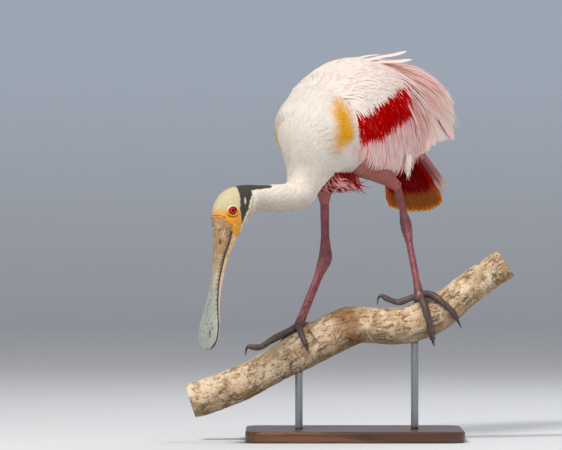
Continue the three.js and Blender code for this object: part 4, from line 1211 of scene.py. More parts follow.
def tube(path_rows, sizes, fore, sides, rings, start=0.0, end=1.0):
    """Rings round a smooth path: deep along fore and wide across it, straight between rows of sizes."""
    rows = np.asarray(path_rows, float)
    s = np.linspace(start, end, rings)
    centre = curve(rows, s)
    along = unit(curve(rows, np.minimum(s + 1e-3, 1.02)) - curve(rows, s - 1e-3))
    along[-1] = along[-2]
    along[0] = along[1]
    across = unit(np.cross(along, np.broadcast_to(np.asarray(fore, float), along.shape)))
    front = np.cross(across, along)
    sizes = np.asarray(sizes, float)
    deep, wide = (np.interp(s, sizes[:, 0], sizes[:, k]) for k in (1, 2))
    a = turns(sides)
    ring = front[:, None] * (deep[:, None] * np.cos(a))[..., None]
    ring = ring + across[:, None] * (wide[:, None] * np.sin(a))[..., None]
    return (centre[:, None] + ring) * MM


def thigh_surface(leg):
    """The surface of one thigh: along is 0 at the knee and 1 at the cuff, around turns from the front."""
    rows = np.array([leg["knee"], np.add(leg["knee"], leg["cuff"]) / 2, leg["cuff"]], float)
    drum = leg["drum"]
    radii = np.array([[drum * 0.15], [drum * 0.8], [drum * 1.0], [drum * 0.92], [drum * 0.76], [drum * 0.6],
                      [10.5 + 0.06 * drum], [8.8], [6.8]])

    def point(along, around, lift=0.0):
        """The middle line, plus the radius along the front and the side."""
        along, around, lift = np.broadcast_arrays(along, around, np.asarray(lift, float))
        centre = curve(rows, along)
        way = unit(rows[-1] - rows[0])
        across = unit(np.cross(way, np.array(leg["fore"], float)))
        front = np.cross(across, way)
        radius = curve(radii, along) + lift[..., None]
        ring = front * np.cos(around)[..., None] + across * np.sin(around)[..., None]
        return (centre + radius * ring) * MM

    return point


THIGH_LOOK = {"columns": 3, "steps": 4, "ragged": 0.2, "camber": 0.1, "thick": 0.1, "sweep": 0.5}
for name, leg in LEGS.items():
    surface = thigh_surface(leg)
    along, around = np.meshgrid(np.linspace(0, 1, 60), turns(64), indexing="ij")
    closed_piece(f"thigh_core_{name}", surface(along, around, -1.2), *THIGH, f"thigh_{name}",
                 paint=[0.5, 0, 0, 0.35])
    rng = np.random.default_rng(72 + SIDES[name])
    u, v = rows_of_roots(surface, np.arange(0.1, 0.985, 0.03), lambda _: 0.0, lambda _: 2 * np.pi, 3.2, rng)
    turn_by = rng.normal(0, 0.15, len(u))
    long = np.interp(u, [0, 0.8, 1], [12, 8, 4]) * rng.uniform(0.8, 1.2, len(u)) * MM
    heading = (np.cos(turn_by), np.sin(turn_by))
    path, out = lay(surface, u, v, (0.01, 0.02), heading, long, (-1.0, 0.25), THIGH_LOOK["steps"])[:2]
    half = widths("body", 2.3 * rng.uniform(0.8, 1.2, len(u)), THIGH_LOOK["steps"])
    pink = 0.4 + 0.25 * noise(path, 0.02, 71) + 0.06 * unlike(path, rng)
    paint = np.clip(mixed(pink.shape, pink, tone=0.45 + 0.06 * unlike(path, rng)), 0, 1)
    bake = bake_place(u, v, (0, 1), (0, 2 * np.pi))
    vanes(f"thigh_coat_{name}", path, out, half, bake, paint, THIGH_LOOK, 73, THIGH)

# %% [markdown]
# The shaggy tuft hangs between the neck and the belly. Each plume is a narrow curved strand, crimson in the
# depth and pale where it comes forward.

# %% Breast tuft
HAIR_LOOK = {**STRAND_LOOK, "steps": 7}
rng = np.random.default_rng(81)
COUNT = 620
f0 = rng.uniform(8, 62, COUNT)
l0 = rng.uniform(-28, 30, COUNT)
long = (rng.uniform(14, 36, COUNT) * (1 - 0.25 * step(30, 60, f0)))[:, None]
swing = rng.normal(0, 8, COUNT)
curl = rng.uniform(-6, 14, COUNT)
s = np.linspace(0, 1, HAIR_LOOK["steps"])
f_way = f0[:, None] - (6 + curl)[:, None] * s**2 - 3 * s
l_way = l0[:, None] * (1 + 0.25 * s) + swing[:, None] * s**1.5
path = at(f_way, l_way, 359 - long * s + 0.12 * long * s**3 - 4 * np.sin(np.pi * s))
out = np.broadcast_to(unit(at(1.0, 0.4, 0) - at(0.0, 0.0, 0)), path.shape)
outward = step(-5, 26, l0)[:, None]
pale = (rng.uniform(0, 1, (COUNT, 1)) < 0.22 + 0.45 * outward) * step(0.0, 0.7, s)
paint = mixed(pale.shape, 1 - 0.9 * pale, np.clip(0.8 - 1.2 * pale, 0, 1),
              tone=0.5 + rng.normal(0, 0.12, (COUNT, 1)))
half = widths("strand", rng.uniform(0.6, 1.3, COUNT), len(s))
bake = bake_place(f0, l0, (6, 64), (-30, 32))
vanes("breast_tuft", path, out, half, bake, shade(paint, 0.2), HAIR_LOOK, 82, RED)

# %% [markdown]
# White wisps hang from the lower edge of the near wing, over the thigh.

# %% Wisps
rng = np.random.default_rng(91)
COUNT = 44
f0 = rng.normal(-54, 2.5, COUNT)
angle0 = rng.uniform(-44, -34, COUNT)
root = CLOAKS["left"](f0, angle0, 5.5)
drop = rng.uniform(12, 32, COUNT)
path = root[:, None] + np.stack([
    (rng.normal(0, 2, (COUNT, 1)) * s + 1.5 * np.sin(3 * s + f0[:, None])),
    (-2 - rng.uniform(0, 4, (COUNT, 1))) * s,
    -drop[:, None] * s,
], axis=-1) * MM
out = np.broadcast_to(unit(np.array([0.2, -1, 0.1])), path.shape)
half = widths("strand", rng.uniform(0.35, 0.8, COUNT), len(s))
bake = bake_place(f0, angle0, (-80, -40), (-50, -20))
vanes("wisps", path, out, half, bake, mixed(path.shape[:2], 0.15), HAIR_LOOK, 92, WHITE)

# %% [markdown]
# The eye is a ball with a bright red iris, a round black pupil and a clear wet surface. The colour depends
# on the distance from the eye's axis, kept as paint on the mesh.

# %% Eyes
EYE, tree, shader = new_material("eye", 0.06, Specular_IOR_Level=0.3)
off_axis = paint_parts(tree)[0]
iris = blend(tree, ramp(tree, cloud(tree, object_place(tree), 700.0), 0.35, 0.65), "e01b1e", "a80a12")
cover(tree, shader, layers(tree, iris, (ramp(tree, off_axis, 3.5, 4.4), "2a0508"),
                           (ramp(tree, off_axis, 2.1, 1.7), "020102")))
polar, round_ = np.meshgrid(np.linspace(0.02, np.pi - 0.02, 40), turns(48), indexing="ij")
bulge = 1 + 0.05 * hump(polar, 0.5)
for name, side in SIDES.items():
    centre = at(EYE_F, side * EYE_OUT, EYE_Z)
    axis = unit(left_at(np.array(EYE_F)) * side + np.array([-0.12, 0, 0.05]))
    flat = unit(np.cross(axis, [0, 0, 1.0]))
    high = np.cross(flat, axis)
    ball = flat * np.cos(round_)[..., None] + high * np.sin(round_)[..., None]
    ball = axis * (np.cos(polar) * bulge)[..., None] + ball * np.sin(polar)[..., None]
    paint = mixed(polar.shape, EYE_RADIUS * np.sin(polar) + 10 * (polar > np.pi / 2), tone=0)
    closed_piece(f"eyeball_{name}", centre + ball * EYE_RADIUS * MM, EYE, "eye", f"eye_{name}", paint=paint)

# %% [markdown]
# The bill is a long flat spoon in two halves. Its sections are rounded ovals cut by the line of the mouth.
# At the root the horn is crinkled like old leather, and the spoon is smooth and blue-grey with dark
# blotches.

# %% Bill
BILL = np.array([  # f, z, half depth, half width, mouth line as a share of the depth
    [222.95, 281.2, 20.9, 12.3, 0.3], [224.3, 262, 13.2, 10.3, 0.22], [227.5, 246, 9.6, 9.2, 0.05],
    [230.7, 231, 7.8, 8.8, -0.05], [235.4, 209, 6.3, 10, -0.12], [240.2, 181, 5.2, 16, -0.1],
    [243.6, 158, 5, 24.5, -0.1], [245.6, 142, 4.6, 25.5, -0.1], [246.6, 132, 3.9, 20, -0.08],
    [247.2, 126.5, 3, 11.5, -0.05], [247.4, 125, 2, 6, 0],
])
BILL_SQUARE, BILL_LEAN, BILL_LEAN_END, BILL_EASE = 2.7, 36.7, 7.0, 0.2
MOUTH_GAP = 0.3
MOUTH_BUMPS = 42


def bill_section(s, share, upper):
    """One half's section: an oval raised to a power, from one end of the mouth line round to the other."""
    row = curve(BILL, s)
    f, z, deep, half, mouth = (row[..., k] for k in range(5))
    lean = np.radians(BILL_LEAN + (BILL_LEAN_END - BILL_LEAN) * np.clip(s / BILL_EASE, 0, 1))
    cut = -mouth + (1 if upper else -1) * MOUTH_GAP / 2 / deep
    limit = np.arccos(np.sign(cut) * np.abs(cut) ** (BILL_SQUARE / 2))
    start, end = (-limit, limit) if upper else (limit, 2 * np.pi - limit)
    a = start + (end - start) * share
    up, aside = (np.sign(part) * np.abs(part) ** (2 / BILL_SQUARE) for part in (np.cos(a), np.sin(a)))
    return at(f + np.cos(lean) * deep * up, half * aside, z + np.sin(lean) * deep * up), up, aside


STREAKS = [  # place along the bill, way across, half length and half width of a dark mark
    (0.665, 0.44, 0.028, 0.12), (0.7, 0.5, 0.022, 0.07), (0.515, -0.15, 0.035, 0.045),
    (0.6, 0.55, 0.014, 0.09), (0.63, 0.6, 0.012, 0.06), (0.6, 0.02, 0.01, 0.04), (0.66, -0.22, 0.008, 0.05),
    (0.575, 0.2, 0.008, 0.05), (0.4, 0.05, 0.006, 0.12), (0.345, -0.05, 0.006, 0.13),
    (0.425, -0.1, 0.006, 0.11),
]


def bill_streaks(s, aside, points):
    """Dark marks of the spoon: ragged ovals, and the worn edge on the left of the tip."""
    ragged = 0.35 * noise(points, 0.0012, 107) + 0.3 * noise(points * [1, 1, 0.3], 0.0016, 108)
    dark = step(0.06, 0.0, 0.95 - aside) * step(0.74, 0.82, s)
    for centre, across, long, wide in STREAKS:
        far = np.hypot((s - centre) / long, (aside - across) / wide)
        dark = np.maximum(dark, step(1.0, 0.55, far + ragged))
    return dark


def mandible(name, upper, node):
    """One half of the bill: wall and mouth face as one ring, with crinkles, pits and a raised rim."""
    s = np.linspace(0, 1, 300)[:, None] ** 0.9
    wall = np.linspace(0, 1, 100)
    floor = np.linspace(0, 1, 26)[1:-1]
    outer, up, aside = bill_section(s, wall[None], upper)
    first, last = outer[:, :1], outer[:, -1:]
    inner = last + (first - last) * floor[None, :, None]
    out = unit(outer - outer.mean(1, keepdims=True))
    base, spoon = step(0.5, 0.05, s), step(0.45, 0.7, s)
    shaken = outer * [1, 1, 1.9] + 0.0012 * noise(outer, 0.003, 105)[..., None]
    worm = np.abs(noise(shaken, 0.0036, 101)) + 0.35 * np.abs(noise(shaken, 0.0019, 102))
    bumps = np.maximum(0, np.sin(2 * np.pi * s * MOUTH_BUMPS)) ** 2
    height = -0.8 * (1 - step(0.03, 0.24, worm)) * base
    if upper:
        near_mouth = hump(up + curve(BILL, s[:, 0])[:, 4:5] - 0.32, 0.16)
        near_mouth = near_mouth * step(0.12, 0.25, s) * step(0.66, 0.5, s)
        rim = hump(np.abs(aside) - 0.9, 0.07) * spoon
        height = height + 0.5 * bumps * near_mouth + 0.8 * rim
    height = height + 0.25 * noise(outer, 0.005, 103) + 0.12 * noise(outer, 0.0015, 104) * (1 - spoon)
    if not upper:
        height = height + 1.3 * (step(0.15, 0.4, s) * step(1.0, 0.93, s))
    height = height * np.sin(np.pi * np.clip(wall, 0, 1)) ** 0.15
    # Painted shade in the grooves of the crinkles.
    dark_streaks_and_shade = (1 - step(0.03, 0.26, worm)) * base
    if upper:
        nostril = np.hypot((head_sheet(outer)[2] - 264.5) / 5.0, (up - 0.72) / 0.12)
        slit = (1 - step(0.5, 1.1, nostril)) * (np.abs(aside) > 0.3)
        height = height - 1.4 * slit
    outer = outer + out * height[..., None] * MM
    if upper:
        # The spoon's own dark streaks, with painted shade in the nostril slits and in the gaps between the
        # bumps along the mouth.
        gaps = (1 - step(0.05, 0.45, bumps)) * near_mouth * 0.75
        dark_streaks_and_shade = dark_streaks_and_shade + slit + gaps + bill_streaks(s, aside, outer)
    # Painted shade along the mouth line, and all over the mouth face inside.
    mouth_shade = hump(np.minimum(wall, 1 - wall), 0.035)
    paint = np.zeros((len(s), len(wall) + len(floor), 4))
    paint[..., 0] = s
    paint[:, : len(wall), 1] = np.clip(dark_streaks_and_shade, 0, 1)
    paint[..., 2] = np.concatenate([mouth_shade, np.ones(len(floor))])
    paint[..., 3] = upper
    closed_piece(name, np.concatenate([outer, inner], axis=1), HORN, "bill_horn", node, paint=paint)


HORN, tree, shader = new_material("bill horn", 0.42, Coat_Weight=0.15, Coat_Roughness=0.3)
# dark holds the spoon's own streaks and painted shade in crinkles, slits and gaps; mouth is painted shade at
# the mouth.
along_bill, dark, mouth, is_upper = paint_parts(tree)
where = object_place(tree)
patchy = cloud(tree, where, 120.0, 5.0)
fine = cloud(tree, where, 750.0, 4.0)
tan = layers(tree, "b08e64", (ramp(tree, fine, 0.42, 0.66), "86683f"),
             (ramp(tree, patchy, 0.5, 0.66), "b9aa90"))
grey = blend(tree, ramp(tree, patchy, 0.35, 0.6), "929a94", "a8aca2")
blots = ramp(tree, cloud(tree, object_place(tree, (1.0, 1.0, 0.25)), 110.0, 3.0), 0.62, 0.67)
spots = ramp(tree, cloud(tree, where, 330.0, 1.0), 0.68, 0.72, 0.85)
lower_half = blend(tree, ramp(tree, along_bill, 0.2, 0.6), "e6c292", "dcb8ac")
horn = layers(tree, tan, (ramp(tree, along_bill, 0.16, 0.5), grey),
              (times(tree, blots, ramp(tree, along_bill, 0.4, 0.6)), "3c3f46"), (spots, "4a4038"),
              (times(tree, maths(tree, "SUBTRACT", 1.0, is_upper), 0.7), lower_half),
              (times(tree, dark, 0.88), "3a2f28"), (mouth, "2a2122"),
              (ramp(tree, along_bill, 0.985, 1.0), "241f22"))
cover(tree, shader, horn, fine, 0.2)
mandible("horn_upper", True, "bill_upper")
mandible("horn_lower", False, "bill_lower")

# %% [markdown]
# The legs are bare, covered with small scales. Tubes for the shin, the shank and each toe are joined into
# one skin by a fine voxel remesh, and the scales are then pressed into it: shallow plates with grooves
# between them.

# %% Legs and feet
SHIN_SIZES = [[0, 6.2, 4.8], [0.6, 5.7, 4.4], [0.8, 7.6, 6.2], [0.94, 9.2, 7.8], [1, 8.6, 7]]
SHANK_SIZES = [[0, 8.6, 7], [0.06, 9.2, 7.8], [0.18, 7.4, 6.2], [0.3, 5.7, 4.5], [0.8, 5.7, 4.6],
               [1, 6.9, 6.8]]
TOES = {  # toe points from the ball of the foot, claw points and thickness
    "left": {
        "inner": ([[85, -8, 189], [70, -7, 184], [57, -6, 188], [49, -6, 192]],
                  [[44, -6, 190.5], [42, -6, 180]], 3.6),
        "middle": ([[103, -23, 183], [109, -28.5, 163], [113, -24.5, 147], [115, -19, 137]],
                   [[116, -16, 131.5], [118, -11, 125]], 4.1),
        "outer": ([[112, -16, 195], [126, -25.5, 186], [139, -26, 174], [146, -21.5, 164]],
                  [[149.5, -19, 158], [153.5, -14, 149.5]], 3.9),
        "hind": ([[96, 18, 187], [94, 26.5, 171], [92, 29, 156]], [[91, 28.5, 149], [90, 25, 141]], 3.3),
    },
    "right": {
        "inner": ([[-62, -14, 151], [-58, -25, 140], [-54, -30, 131]],
                  [[-51.5, -31, 125], [-49, -30, 117]], 3.6),
        "middle": ([[-78, 0, 144], [-99, -1, 133], [-113, -1, 124.5], [-127, -1, 124.5]],
                   [[-131.5, -1, 122.5], [-133, -1, 112]], 4),
        "outer": ([[-72, 15, 147], [-84, 26, 128], [-92, 29, 110]],
                  [[-94.5, 28.5, 103], [-96, 25, 95]], 3.8),
        "hind": ([[-49, 20, 153], [-42, 30.5, 139], [-38, 33, 124]],
                 [[-37, 32.5, 117], [-36, 29.5, 109]], 3.3),
    },
}
LEG_VOXEL, GROOVE_DEPTH = 0.00055, 0.28
SCALE_SIZE = 0.0021


def joined_mesh(grids, name, voxel):
    """Closed grids fused into one surface by a voxel remesh. Returns its points, quads and outward
    directions."""
    parts, count = [], 0
    for grid in grids:
        points, quads, fans = closed_grid(grid)
        parts.append((points, quads + count, fans + count))
        count += len(points)
    points, quads, fans = (np.concatenate([part[k] for part in parts]) for k in range(3))
    rough = new_piece(name, points, quads, fans)
    remesh = rough.modifiers.new("fuse", "REMESH")
    remesh.mode = "VOXEL"
    remesh.voxel_size = voxel
    relax = rough.modifiers.new("relax", "SMOOTH")
    relax.iterations = 3
    shape = bpy.data.meshes.new_from_object(rough.evaluated_get(bpy.context.evaluated_depsgraph_get()))
    count = len(shape.vertices)
    points, out = np.zeros(count * 3, np.float32), np.zeros(count * 3, np.float32)
    shape.vertices.foreach_get("co", points)
    shape.vertex_normals.foreach_get("vector", out)
    corners = np.zeros(len(shape.loops), np.int32)
    shape.loops.foreach_get("vertex_index", corners)
    bpy.data.objects.remove(rough)
    return points.reshape(-1, 3).astype(float), corners.reshape(-1, 4), out.reshape(-1, 3).astype(float)


def web(a, b, hub, thick=1.0):
    """A small web between two toes: a flat closed strip that hangs back from its free edge."""
    share = np.linspace(0, 1, 8)
    front = between(a, b, share)
    front = front + (hub - front) * 0.35 * np.sin(np.pi * share)[:, None]
    normal = unit(np.cross(np.subtract(b, a), np.subtract(hub, a)))
    rings = []
    for t in np.linspace(0, 0.92, 6):
        line = front + (hub - front) * t
        rings.append(np.concatenate([line + normal * thick / 2, (line - normal * thick / 2)[::-1]]))
    return np.array(rings) * MM


LEG_SKIN, tree, shader = new_material("leg skin", 0.5, Specular_IOR_Level=0.5)
groove, on_foot, plate_highlight, pink_patch_and_top_highlight = paint_parts(tree)
where = object_place(tree)
patchy = cloud(tree, where, 90.0, 5.0)
fine = cloud(tree, where, 600.0, 3.0)
rosy = blend(tree, ramp(tree, patchy, 0.35, 0.65), "8a444c", "6e3238")
# Painted highlights on the scales' plates, pale mauve.
plate_highlight_colour = blend(tree, ramp(tree, patchy, 0.3, 0.6), "d0a0a8", "b07c88")
dark = layers(tree, "3a3230", (ramp(tree, fine, 0.4, 0.7), "6c605a"))
# The foot's own pink patch on the ball, and a painted highlight along the tops of the toes.
foot_colour = blend(tree, pink_patch_and_top_highlight, dark, "a8625e")
cover(tree, shader, layers(tree, rosy, (times(tree, plate_highlight, 0.7), plate_highlight_colour), (on_foot, foot_colour),
                           (times(tree, groove, 0.6), "4a2a2e")), fine, 0.15)

CLAW_HORN, tree, shader = new_material("claw horn", 0.35)
streak = cloud(tree, object_place(tree, (1, 1, 0.3)), 900.0, 3.0)
cover(tree, shader, blend(tree, ramp(tree, streak, 0.35, 0.7), "1d1a1b", "4b4340"), streak, 0.1)

for name, leg in LEGS.items():
    cuff, heel, foot = (np.array(leg[key], float) for key in ("cuff", "heel", "foot"))
    down, lower = heel - cuff, foot - heel
    shin = tube([cuff - 0.12 * down, (cuff + heel) / 2, heel + 0.02 * down], SHIN_SIZES, leg["fore"], 36, 60)
    shank_path = [heel - 0.02 * lower, (heel + foot) / 2, foot + 0.06 * lower]
    shank = tube(shank_path, SHANK_SIZES, leg["fore"], 36, 90)
    grids = [shin, shank]
    start = foot + 0.04 * lower
    for which, (toe, claw, thick) in TOES[name].items():
        toe, claw = np.array(toe, float), np.array(claw, float)
        end = toe[-1]
        onward = claw[0] - end
        fore = [end[1] - start[1], start[0] - end[0], 0]
        s = np.linspace(0, 1, 40)
        pads = 0.55 * np.maximum(0, np.cos(6 * np.pi * s)) * (s > 0.2)
        radius = thick + 0.9 - (0.9 + 0.16 * thick) * s + pads
        toe_sizes = np.stack([s, radius, radius], -1)
        grids.append(tube([start, *toe, end + 0.25 * onward], toe_sizes, fore, 24, 60))
        claw_sizes = [[0, thick * 0.72, thick * 0.62], [0.5, thick * 0.5, thick * 0.42], [1, 0.4, 0.35]]
        claw_grid = tube([end - 0.15 * onward, *claw], claw_sizes, fore, 16, 24)
        closed_piece(f"claw_horn_{name}_{which}", claw_grid, CLAW_HORN, "claw_horn", f"claw_{name}_{which}")
    middle, outer_toe, inner_toe = (TOES[name][key][0] for key in ("middle", "outer", "inner"))
    grids += [web(middle[0], corner, foot + 0.05 * lower) for corner in (outer_toe[1], inner_toe[0])]
    points, quads, out = joined_mesh(grids, f"leg_{name}", LEG_VOXEL)
    scales = cracks(points * [1, 1, 1.25], SCALE_SIZE, 111)
    plates = step(0.0, 0.35, scales)
    points = points - out * (GROOVE_DEPTH * (1 - plates) * MM)[:, None]
    uneven = noise(points, 0.006, 112)
    from_heel, from_foot = points / MM - heel, points / MM - foot
    past_shank = from_foot @ unit(lower)
    behind_heel = step(5, -5, from_heel @ [1.0, 0.3, -0.2] + 4 * uneven)
    near_heel = hump(np.linalg.norm(from_heel, axis=-1), 13) * behind_heel
    on_foot = np.clip(step(-6, 0, past_shank + 3 * uneven) + 0.85 * near_heel, 0, 1)
    # Painted highlights on the middles of the scales, stronger down the shank.
    plate_highlight = step(0.55, 0.95, scales) * (0.4 + 0.6 * step(0, 16, from_heel @ unit(lower)))
    ball = np.linalg.norm((from_foot - [0, -6, -6]) / [3.2, 9, 6.0], axis=-1)
    # A painted highlight along the upward faces of the toes; the ball of the foot is pink.
    top_highlight = step(0.8, 0.97, out[:, 2]) * step(-0.2, 0.5, uneven) * step(4, 10, past_shank)
    pink_patch_and_top_highlight = np.clip(step(1.2, 0.8, ball + 0.3 * uneven) + 0.7 * top_highlight, 0, 1)
    paint = mixed(len(points), 1 - plates, on_foot, plate_highlight, pink_patch_and_top_highlight)
    belong(new_piece(f"leg_skin_{name}", points, quads, paint=paint), LEG_SKIN, "leg_skin",
           f"shin_{name}", f"shank_{name}", f"foot_{name}")
    print(f"leg {name}: {len(quads) * 2} triangles")

# %% [markdown]
# The perch is a cut length of weathered branch. Its bark is a surface round a curved middle line, with long
# cracks, cross cracks and flakes pressed into it. The underside is darker, with painted shade, and its pale
# flakes are dimmed there.

# %% Branch
BRANCH = np.array([  # x, z, radius
    [-206, 52, 22.5], [-173, 62.5, 23], [-130, 80, 23.5], [-77, 109, 24.5], [-29, 136, 26.5],
    [12, 153.5, 25.5], [50, 152.5, 24.5], [87, 155, 24.5], [128, 174, 23.5], [161, 199.5, 22],
    [194, 222.5, 20.5], [213, 235.5, 20],
])
BRANCH_LONG, BRANCH_THICK = 470, 24


def on_branch(share, angle, lift=0.0):
    """A place on the branch: its middle line, plus radius and swellings along the turn from the top."""
    share, angle, lift = np.broadcast_arrays(share, angle, np.asarray(lift, float))
    row = curve(BRANCH, share)
    slope = curve(BRANCH, np.minimum(share + 1e-3, 1)) - curve(BRANCH, np.maximum(share - 1e-3, 0))
    flat = np.zeros_like(lift)
    up = unit(np.stack([-slope[..., 1], flat, slope[..., 0]], axis=-1))
    bumps = 0.6 * np.sin(5 * angle + 9 * share) + 0.8 * np.sin(2 * angle + 21 * share)
    bumps = bumps + 0.5 * np.sin(47 * share)
    out = row[..., 2] + bumps + lift
    middle = np.stack([row[..., 0], -np.sin(angle) * out, row[..., 1]], axis=-1)
    return (middle + up * (out * np.cos(angle))[..., None]) * MM


share, angle = np.meshgrid(np.linspace(0, 1, 520), turns(170), indexing="ij")
unrolled = [share * BRANCH_LONG, np.cos(angle) * BRANCH_THICK, np.sin(angle) * BRANCH_THICK]
unrolled = np.stack(unrolled, axis=-1)
shaken = unrolled + 3.0 * noise(unrolled, 9, 120)[..., None] + 1.2 * noise(unrolled, 3, 119)[..., None]
fibres = noise(shaken * [0.22, 1, 1], 2.2, 121)
plates = cracks(shaken * [0.55, 0.8, 0.8], 9.0, 122)
crosswise = cracks(shaken * [1.6, 0.28, 0.28], 8.0, 129)
groove = (1 - step(0, 0.12, plates)) * step(-0.3, 0.3, noise(unrolled, 16, 131))
nick = (1 - step(0, 0.10, crosswise)) * step(-0.1, 0.35, noise(unrolled, 22, 130))
burl = hump(share * BRANCH_LONG - 208, 20) * step(-0.9, 0.2, noise(unrolled, 14, 132) + 0.4)
flaky = step(0.02, 0.1, noise(shaken, 7, 133))
depth = -1.0 * groove - 0.7 * nick + 0.3 * fibres + 0.35 * flaky - 0.55
depth += 0.35 * noise(unrolled, 9, 123) + burl * (1.2 * np.abs(noise(shaken, 4.5, 125)) - 0.6)
depth += 0.16 * noise(unrolled, 1.4, 126)
# Painted shade: the underside is darker, and its pale flakes are dimmed.
under = step(0.15, 0.8, -np.cos(angle) + 0.35 * noise(unrolled, 14, 135))
flakes = flaky * step(-0.4, 0.5, noise(unrolled, 18, 134)) * (1 - 0.8 * under)
paint = mixed(share.shape, np.clip(groove + nick + 0.4 * under, 0, 1), flakes, np.clip(burl * 1.1, 0, 1),
              np.clip(0.5 + 0.5 * fibres, 0, 1))

BARK, tree, shader = new_material("bark", 0.9, Specular_IOR_Level=0.15)
# The first channel carries the cracks and the painted shade of the underside.
cracks_and_underside_shade, flake, burled, fibre = paint_parts(tree)
where = object_place(tree)
patchy = cloud(tree, where, 55.0, 6.0, 0.7)
fine = cloud(tree, where, 420.0, 5.0, 0.7)
colour = layers(tree, "d2bea2", (ramp(tree, patchy, 0.38, 0.6), "ae9678"),
                (ramp(tree, fibre, 0.5, 0.2), "8b7155"), (times(tree, flake, 0.75), "e0d3bb"),
                (ramp(tree, fine, 0.58, 0.7), "ece2cf"),
                (ramp(tree, fine, 0.42, 0.33), "6f573f"), (ramp(tree, patchy, 0.58, 0.66, 0.5), "a07f45"),
                (times(tree, burled, 0.75), "7c5334"), (times(tree, cracks_and_underside_shade, 0.8), "3a2b20"))
cover(tree, shader, colour, fine, 0.8)
closed_piece("bark", on_branch(share, angle, depth), BARK, "bark", "branch", paint=paint)

# %% [markdown]
# The stand is a plain slab of stained walnut with round corners, and two steel rods up to the branch.

# %% Stand
BASE_MIDDLE = (12, 20, 0)
BASE = {"long": 290, "wide": 210, "high": 15, "corner": 26, "bevel": 3}


def slab(long, wide, high, corner, bevel):
    """A slab with round corners: rounded rectangles, stepped in by a quarter circle at each edge."""
    turn = turns(160)
    cx = np.sign(np.cos(turn)) * (long / 2 - corner)
    cy = np.sign(np.sin(turn)) * (wide / 2 - corner)
    levels = [(bevel * (1 - np.sin(q)), bevel * (1 - np.cos(q))) for q in np.linspace(0, np.pi / 2, 7)]
    rings = []
    for inset, z in levels + [(inset, high - z) for inset, z in levels[::-1]]:
        r = corner - inset
        level = np.full_like(turn, z)
        rings.append(np.stack([cx + r * np.cos(turn), cy + r * np.sin(turn), level], axis=-1))
    return np.array(rings)


WALNUT, tree, shader = new_material("stained walnut", 0.38, Coat_Weight=0.3, Coat_Roughness=0.2)
place_on = object_place(tree, (0.12, 1.0, 1.0))
grain = cloud(tree, place_on, 140.0, 6.0)
year_rings = put(tree, "TexWave", {"Vector": place_on, "Scale": 9.0, "Distortion": 9.0, "Detail": 3.0,
                                   "Detail Scale": 1.2}, bands_direction="Y").outputs["Fac"]
wood = layers(tree, "4a2f1e", (ramp(tree, year_rings, 0.2, 0.9), "6b4529"),
              (ramp(tree, grain, 0.45, 0.75), "2e1c12"))
cover(tree, shader, wood, grain, 0.08)
closed_piece("stand_slab", (slab(**BASE) + BASE_MIDDLE) * MM, WALNUT, "stained_wood", "stand_base")

STEEL, tree, shader = new_material("brushed steel", 0.32, Metallic=1.0)
brushed = cloud(tree, object_place(tree, (1, 1, 0.02)), 2500.0, 2.0)
cover(tree, shader, blend(tree, brushed, "8c9094", "b9bcc0"))
tree.links.new(maths(tree, "ADD", 0.25, times(tree, brushed, 0.2)), shader.inputs["Roughness"])
for k in (1, 2):
    low, high = (np.array(corner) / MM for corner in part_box(f"stand_rod_{k}"))
    x, y, _ = (low + high) / 2
    radius = (high[0] - low[0]) / 2
    rod = tube([[x, y, z] for z in (low[2], (low[2] + high[2]) / 2, high[2])],
               [[0, radius, radius], [1, radius, radius]], (1, 0, 0), 48, 30)
    closed_piece(f"steel_rod_{k}", rod, STEEL, "rod_steel", f"stand_rod_{k}")

# %% [markdown]
# The bird stands in a plain round studio: a pale floor that curves up into a wall far outside the cameras,
# so that no horizon shows from any side. A large soft lamp from the upper left stands for the sun of the
# photo. A wide one near the camera and a weak one from the right open the shadows, and an even pale sky
# lies above.

# %% Floor, light and camera
FLAT, RISE, WALL_TOP, FLOOR_SIDES = 7.0, 1.6, 6.0, 96
turn = np.linspace(0, np.pi / 2, 20)
profile = np.concatenate([
    [[0.05, 0.0], [3.0, 0.0]],
    np.stack([FLAT + RISE * np.sin(turn), RISE * (1 - np.cos(turn))], axis=-1),
    [[FLAT + RISE, WALL_TOP]],
])
way_round = turns(FLOOR_SIDES)
grid = np.stack(np.broadcast_arrays(profile[:, :1] * np.cos(way_round), profile[:, :1] * np.sin(way_round),
                                    profile[:, 1:]), axis=-1)
points = np.concatenate([grid.reshape(-1, 3), [[0, 0, 0]]])
ring = np.arange(FLOOR_SIDES)
middle = np.stack([np.full(FLOOR_SIDES, len(points) - 1), ring, (ring + 1) % FLOOR_SIDES], axis=-1)
floor = new_piece("floor", points, grid_faces(len(profile), FLOOR_SIDES, wrap=True)[:, ::-1], middle)
FLOOR, tree, shader = new_material("pale floor", 0.9, Specular_IOR_Level=0.1)
where = object_place(tree)
high = put(tree, "SeparateXYZ", {0: where}).outputs["Z"]
pale = blend(tree, cloud(tree, where, 3.0), "ccd2da", "d0d6de")
cover(tree, shader, blend(tree, ramp(tree, high, 0.0, 0.9), pale, "dcebff"))
floor.data.materials.append(FLOOR)


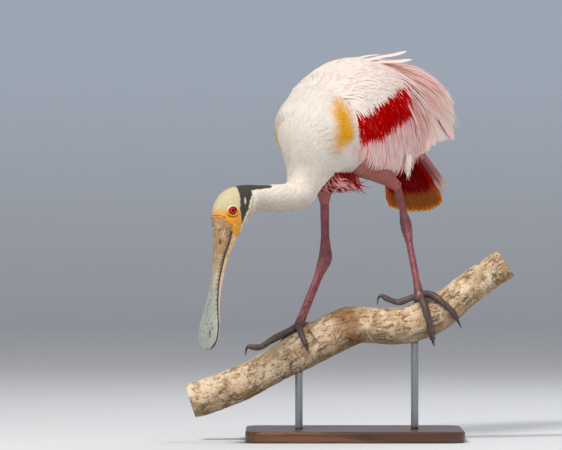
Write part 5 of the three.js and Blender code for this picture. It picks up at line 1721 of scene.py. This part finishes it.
def lamp(name, place, aim, size, power, colour, mirrored=False):
    """A square area lamp that faces its aim. Only a mirrored one shows in wet and smooth surfaces."""
    data = bpy.data.lights.new(name, "AREA")
    data.size, data.energy = size, power
    data.color = srgb(colour)[:3]
    made = bpy.data.objects.new(name, data)
    scene.collection.objects.link(made)
    made.location = place
    made.visible_glossy = mirrored
    made.rotation_euler = (Vector(aim) - Vector(place)).to_track_quat("-Z", "Y").to_euler()


AIM = (0.0, 0.0, 0.33)
lamp("key", (-1.0, -1.7, 2.6), AIM, 0.6, 78, "fff5ea", mirrored=True)
lamp("front", (1.0, -5.2, 1.3), AIM, 3.6, 88, "fff3e8")
lamp("fill", (2.2, -1.2, 0.9), AIM, 1.6, 12, "fff6f0")
lamp("back", (0.9, 1.3, 1.8), AIM, 1.2, 16, "ffffff")
world = bpy.data.worlds.new("sky")
scene.world = world
world.use_nodes = True
world.node_tree.nodes["Background"].inputs["Color"].default_value = srgb("fbf0e2")
world.node_tree.nodes["Background"].inputs["Strength"].default_value = 0.5
scene.view_settings.view_transform = "Standard"

PHOTO_SCALE = 1.33  # millimetres to a pixel of the photograph at the bird
FRAME_WIDE = 562
VIEW_MIDDLE = (280.5, 224.5)
X_ZERO, Z_ZERO = 345, 440  # the pixel column of x = 0 and the row of z = 0
CAMERA_FAR = 6.0
camera_data = bpy.data.cameras.new("camera")
camera_data.sensor_width = 36
camera_data.lens = 36 * CAMERA_FAR / (FRAME_WIDE * PHOTO_SCALE * MM)
camera_data.clip_end = 60
camera = bpy.data.objects.new("camera", camera_data)
scene.collection.objects.link(camera)
camera.location = (
    (VIEW_MIDDLE[0] - X_ZERO) * PHOTO_SCALE * MM, -CAMERA_FAR, (Z_ZERO - VIEW_MIDDLE[1]) * PHOTO_SCALE * MM,
)
camera.rotation_euler = (math.pi / 2, 0, 0)
scene.camera = camera
print("camera at", tuple(round(value, 3) for value in camera.location))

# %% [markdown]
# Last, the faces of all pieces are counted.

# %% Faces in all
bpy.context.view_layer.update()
total = sum(len(piece.data.polygons) for piece in bpy.data.objects if piece.type == "MESH")
print("faces in all:", total)
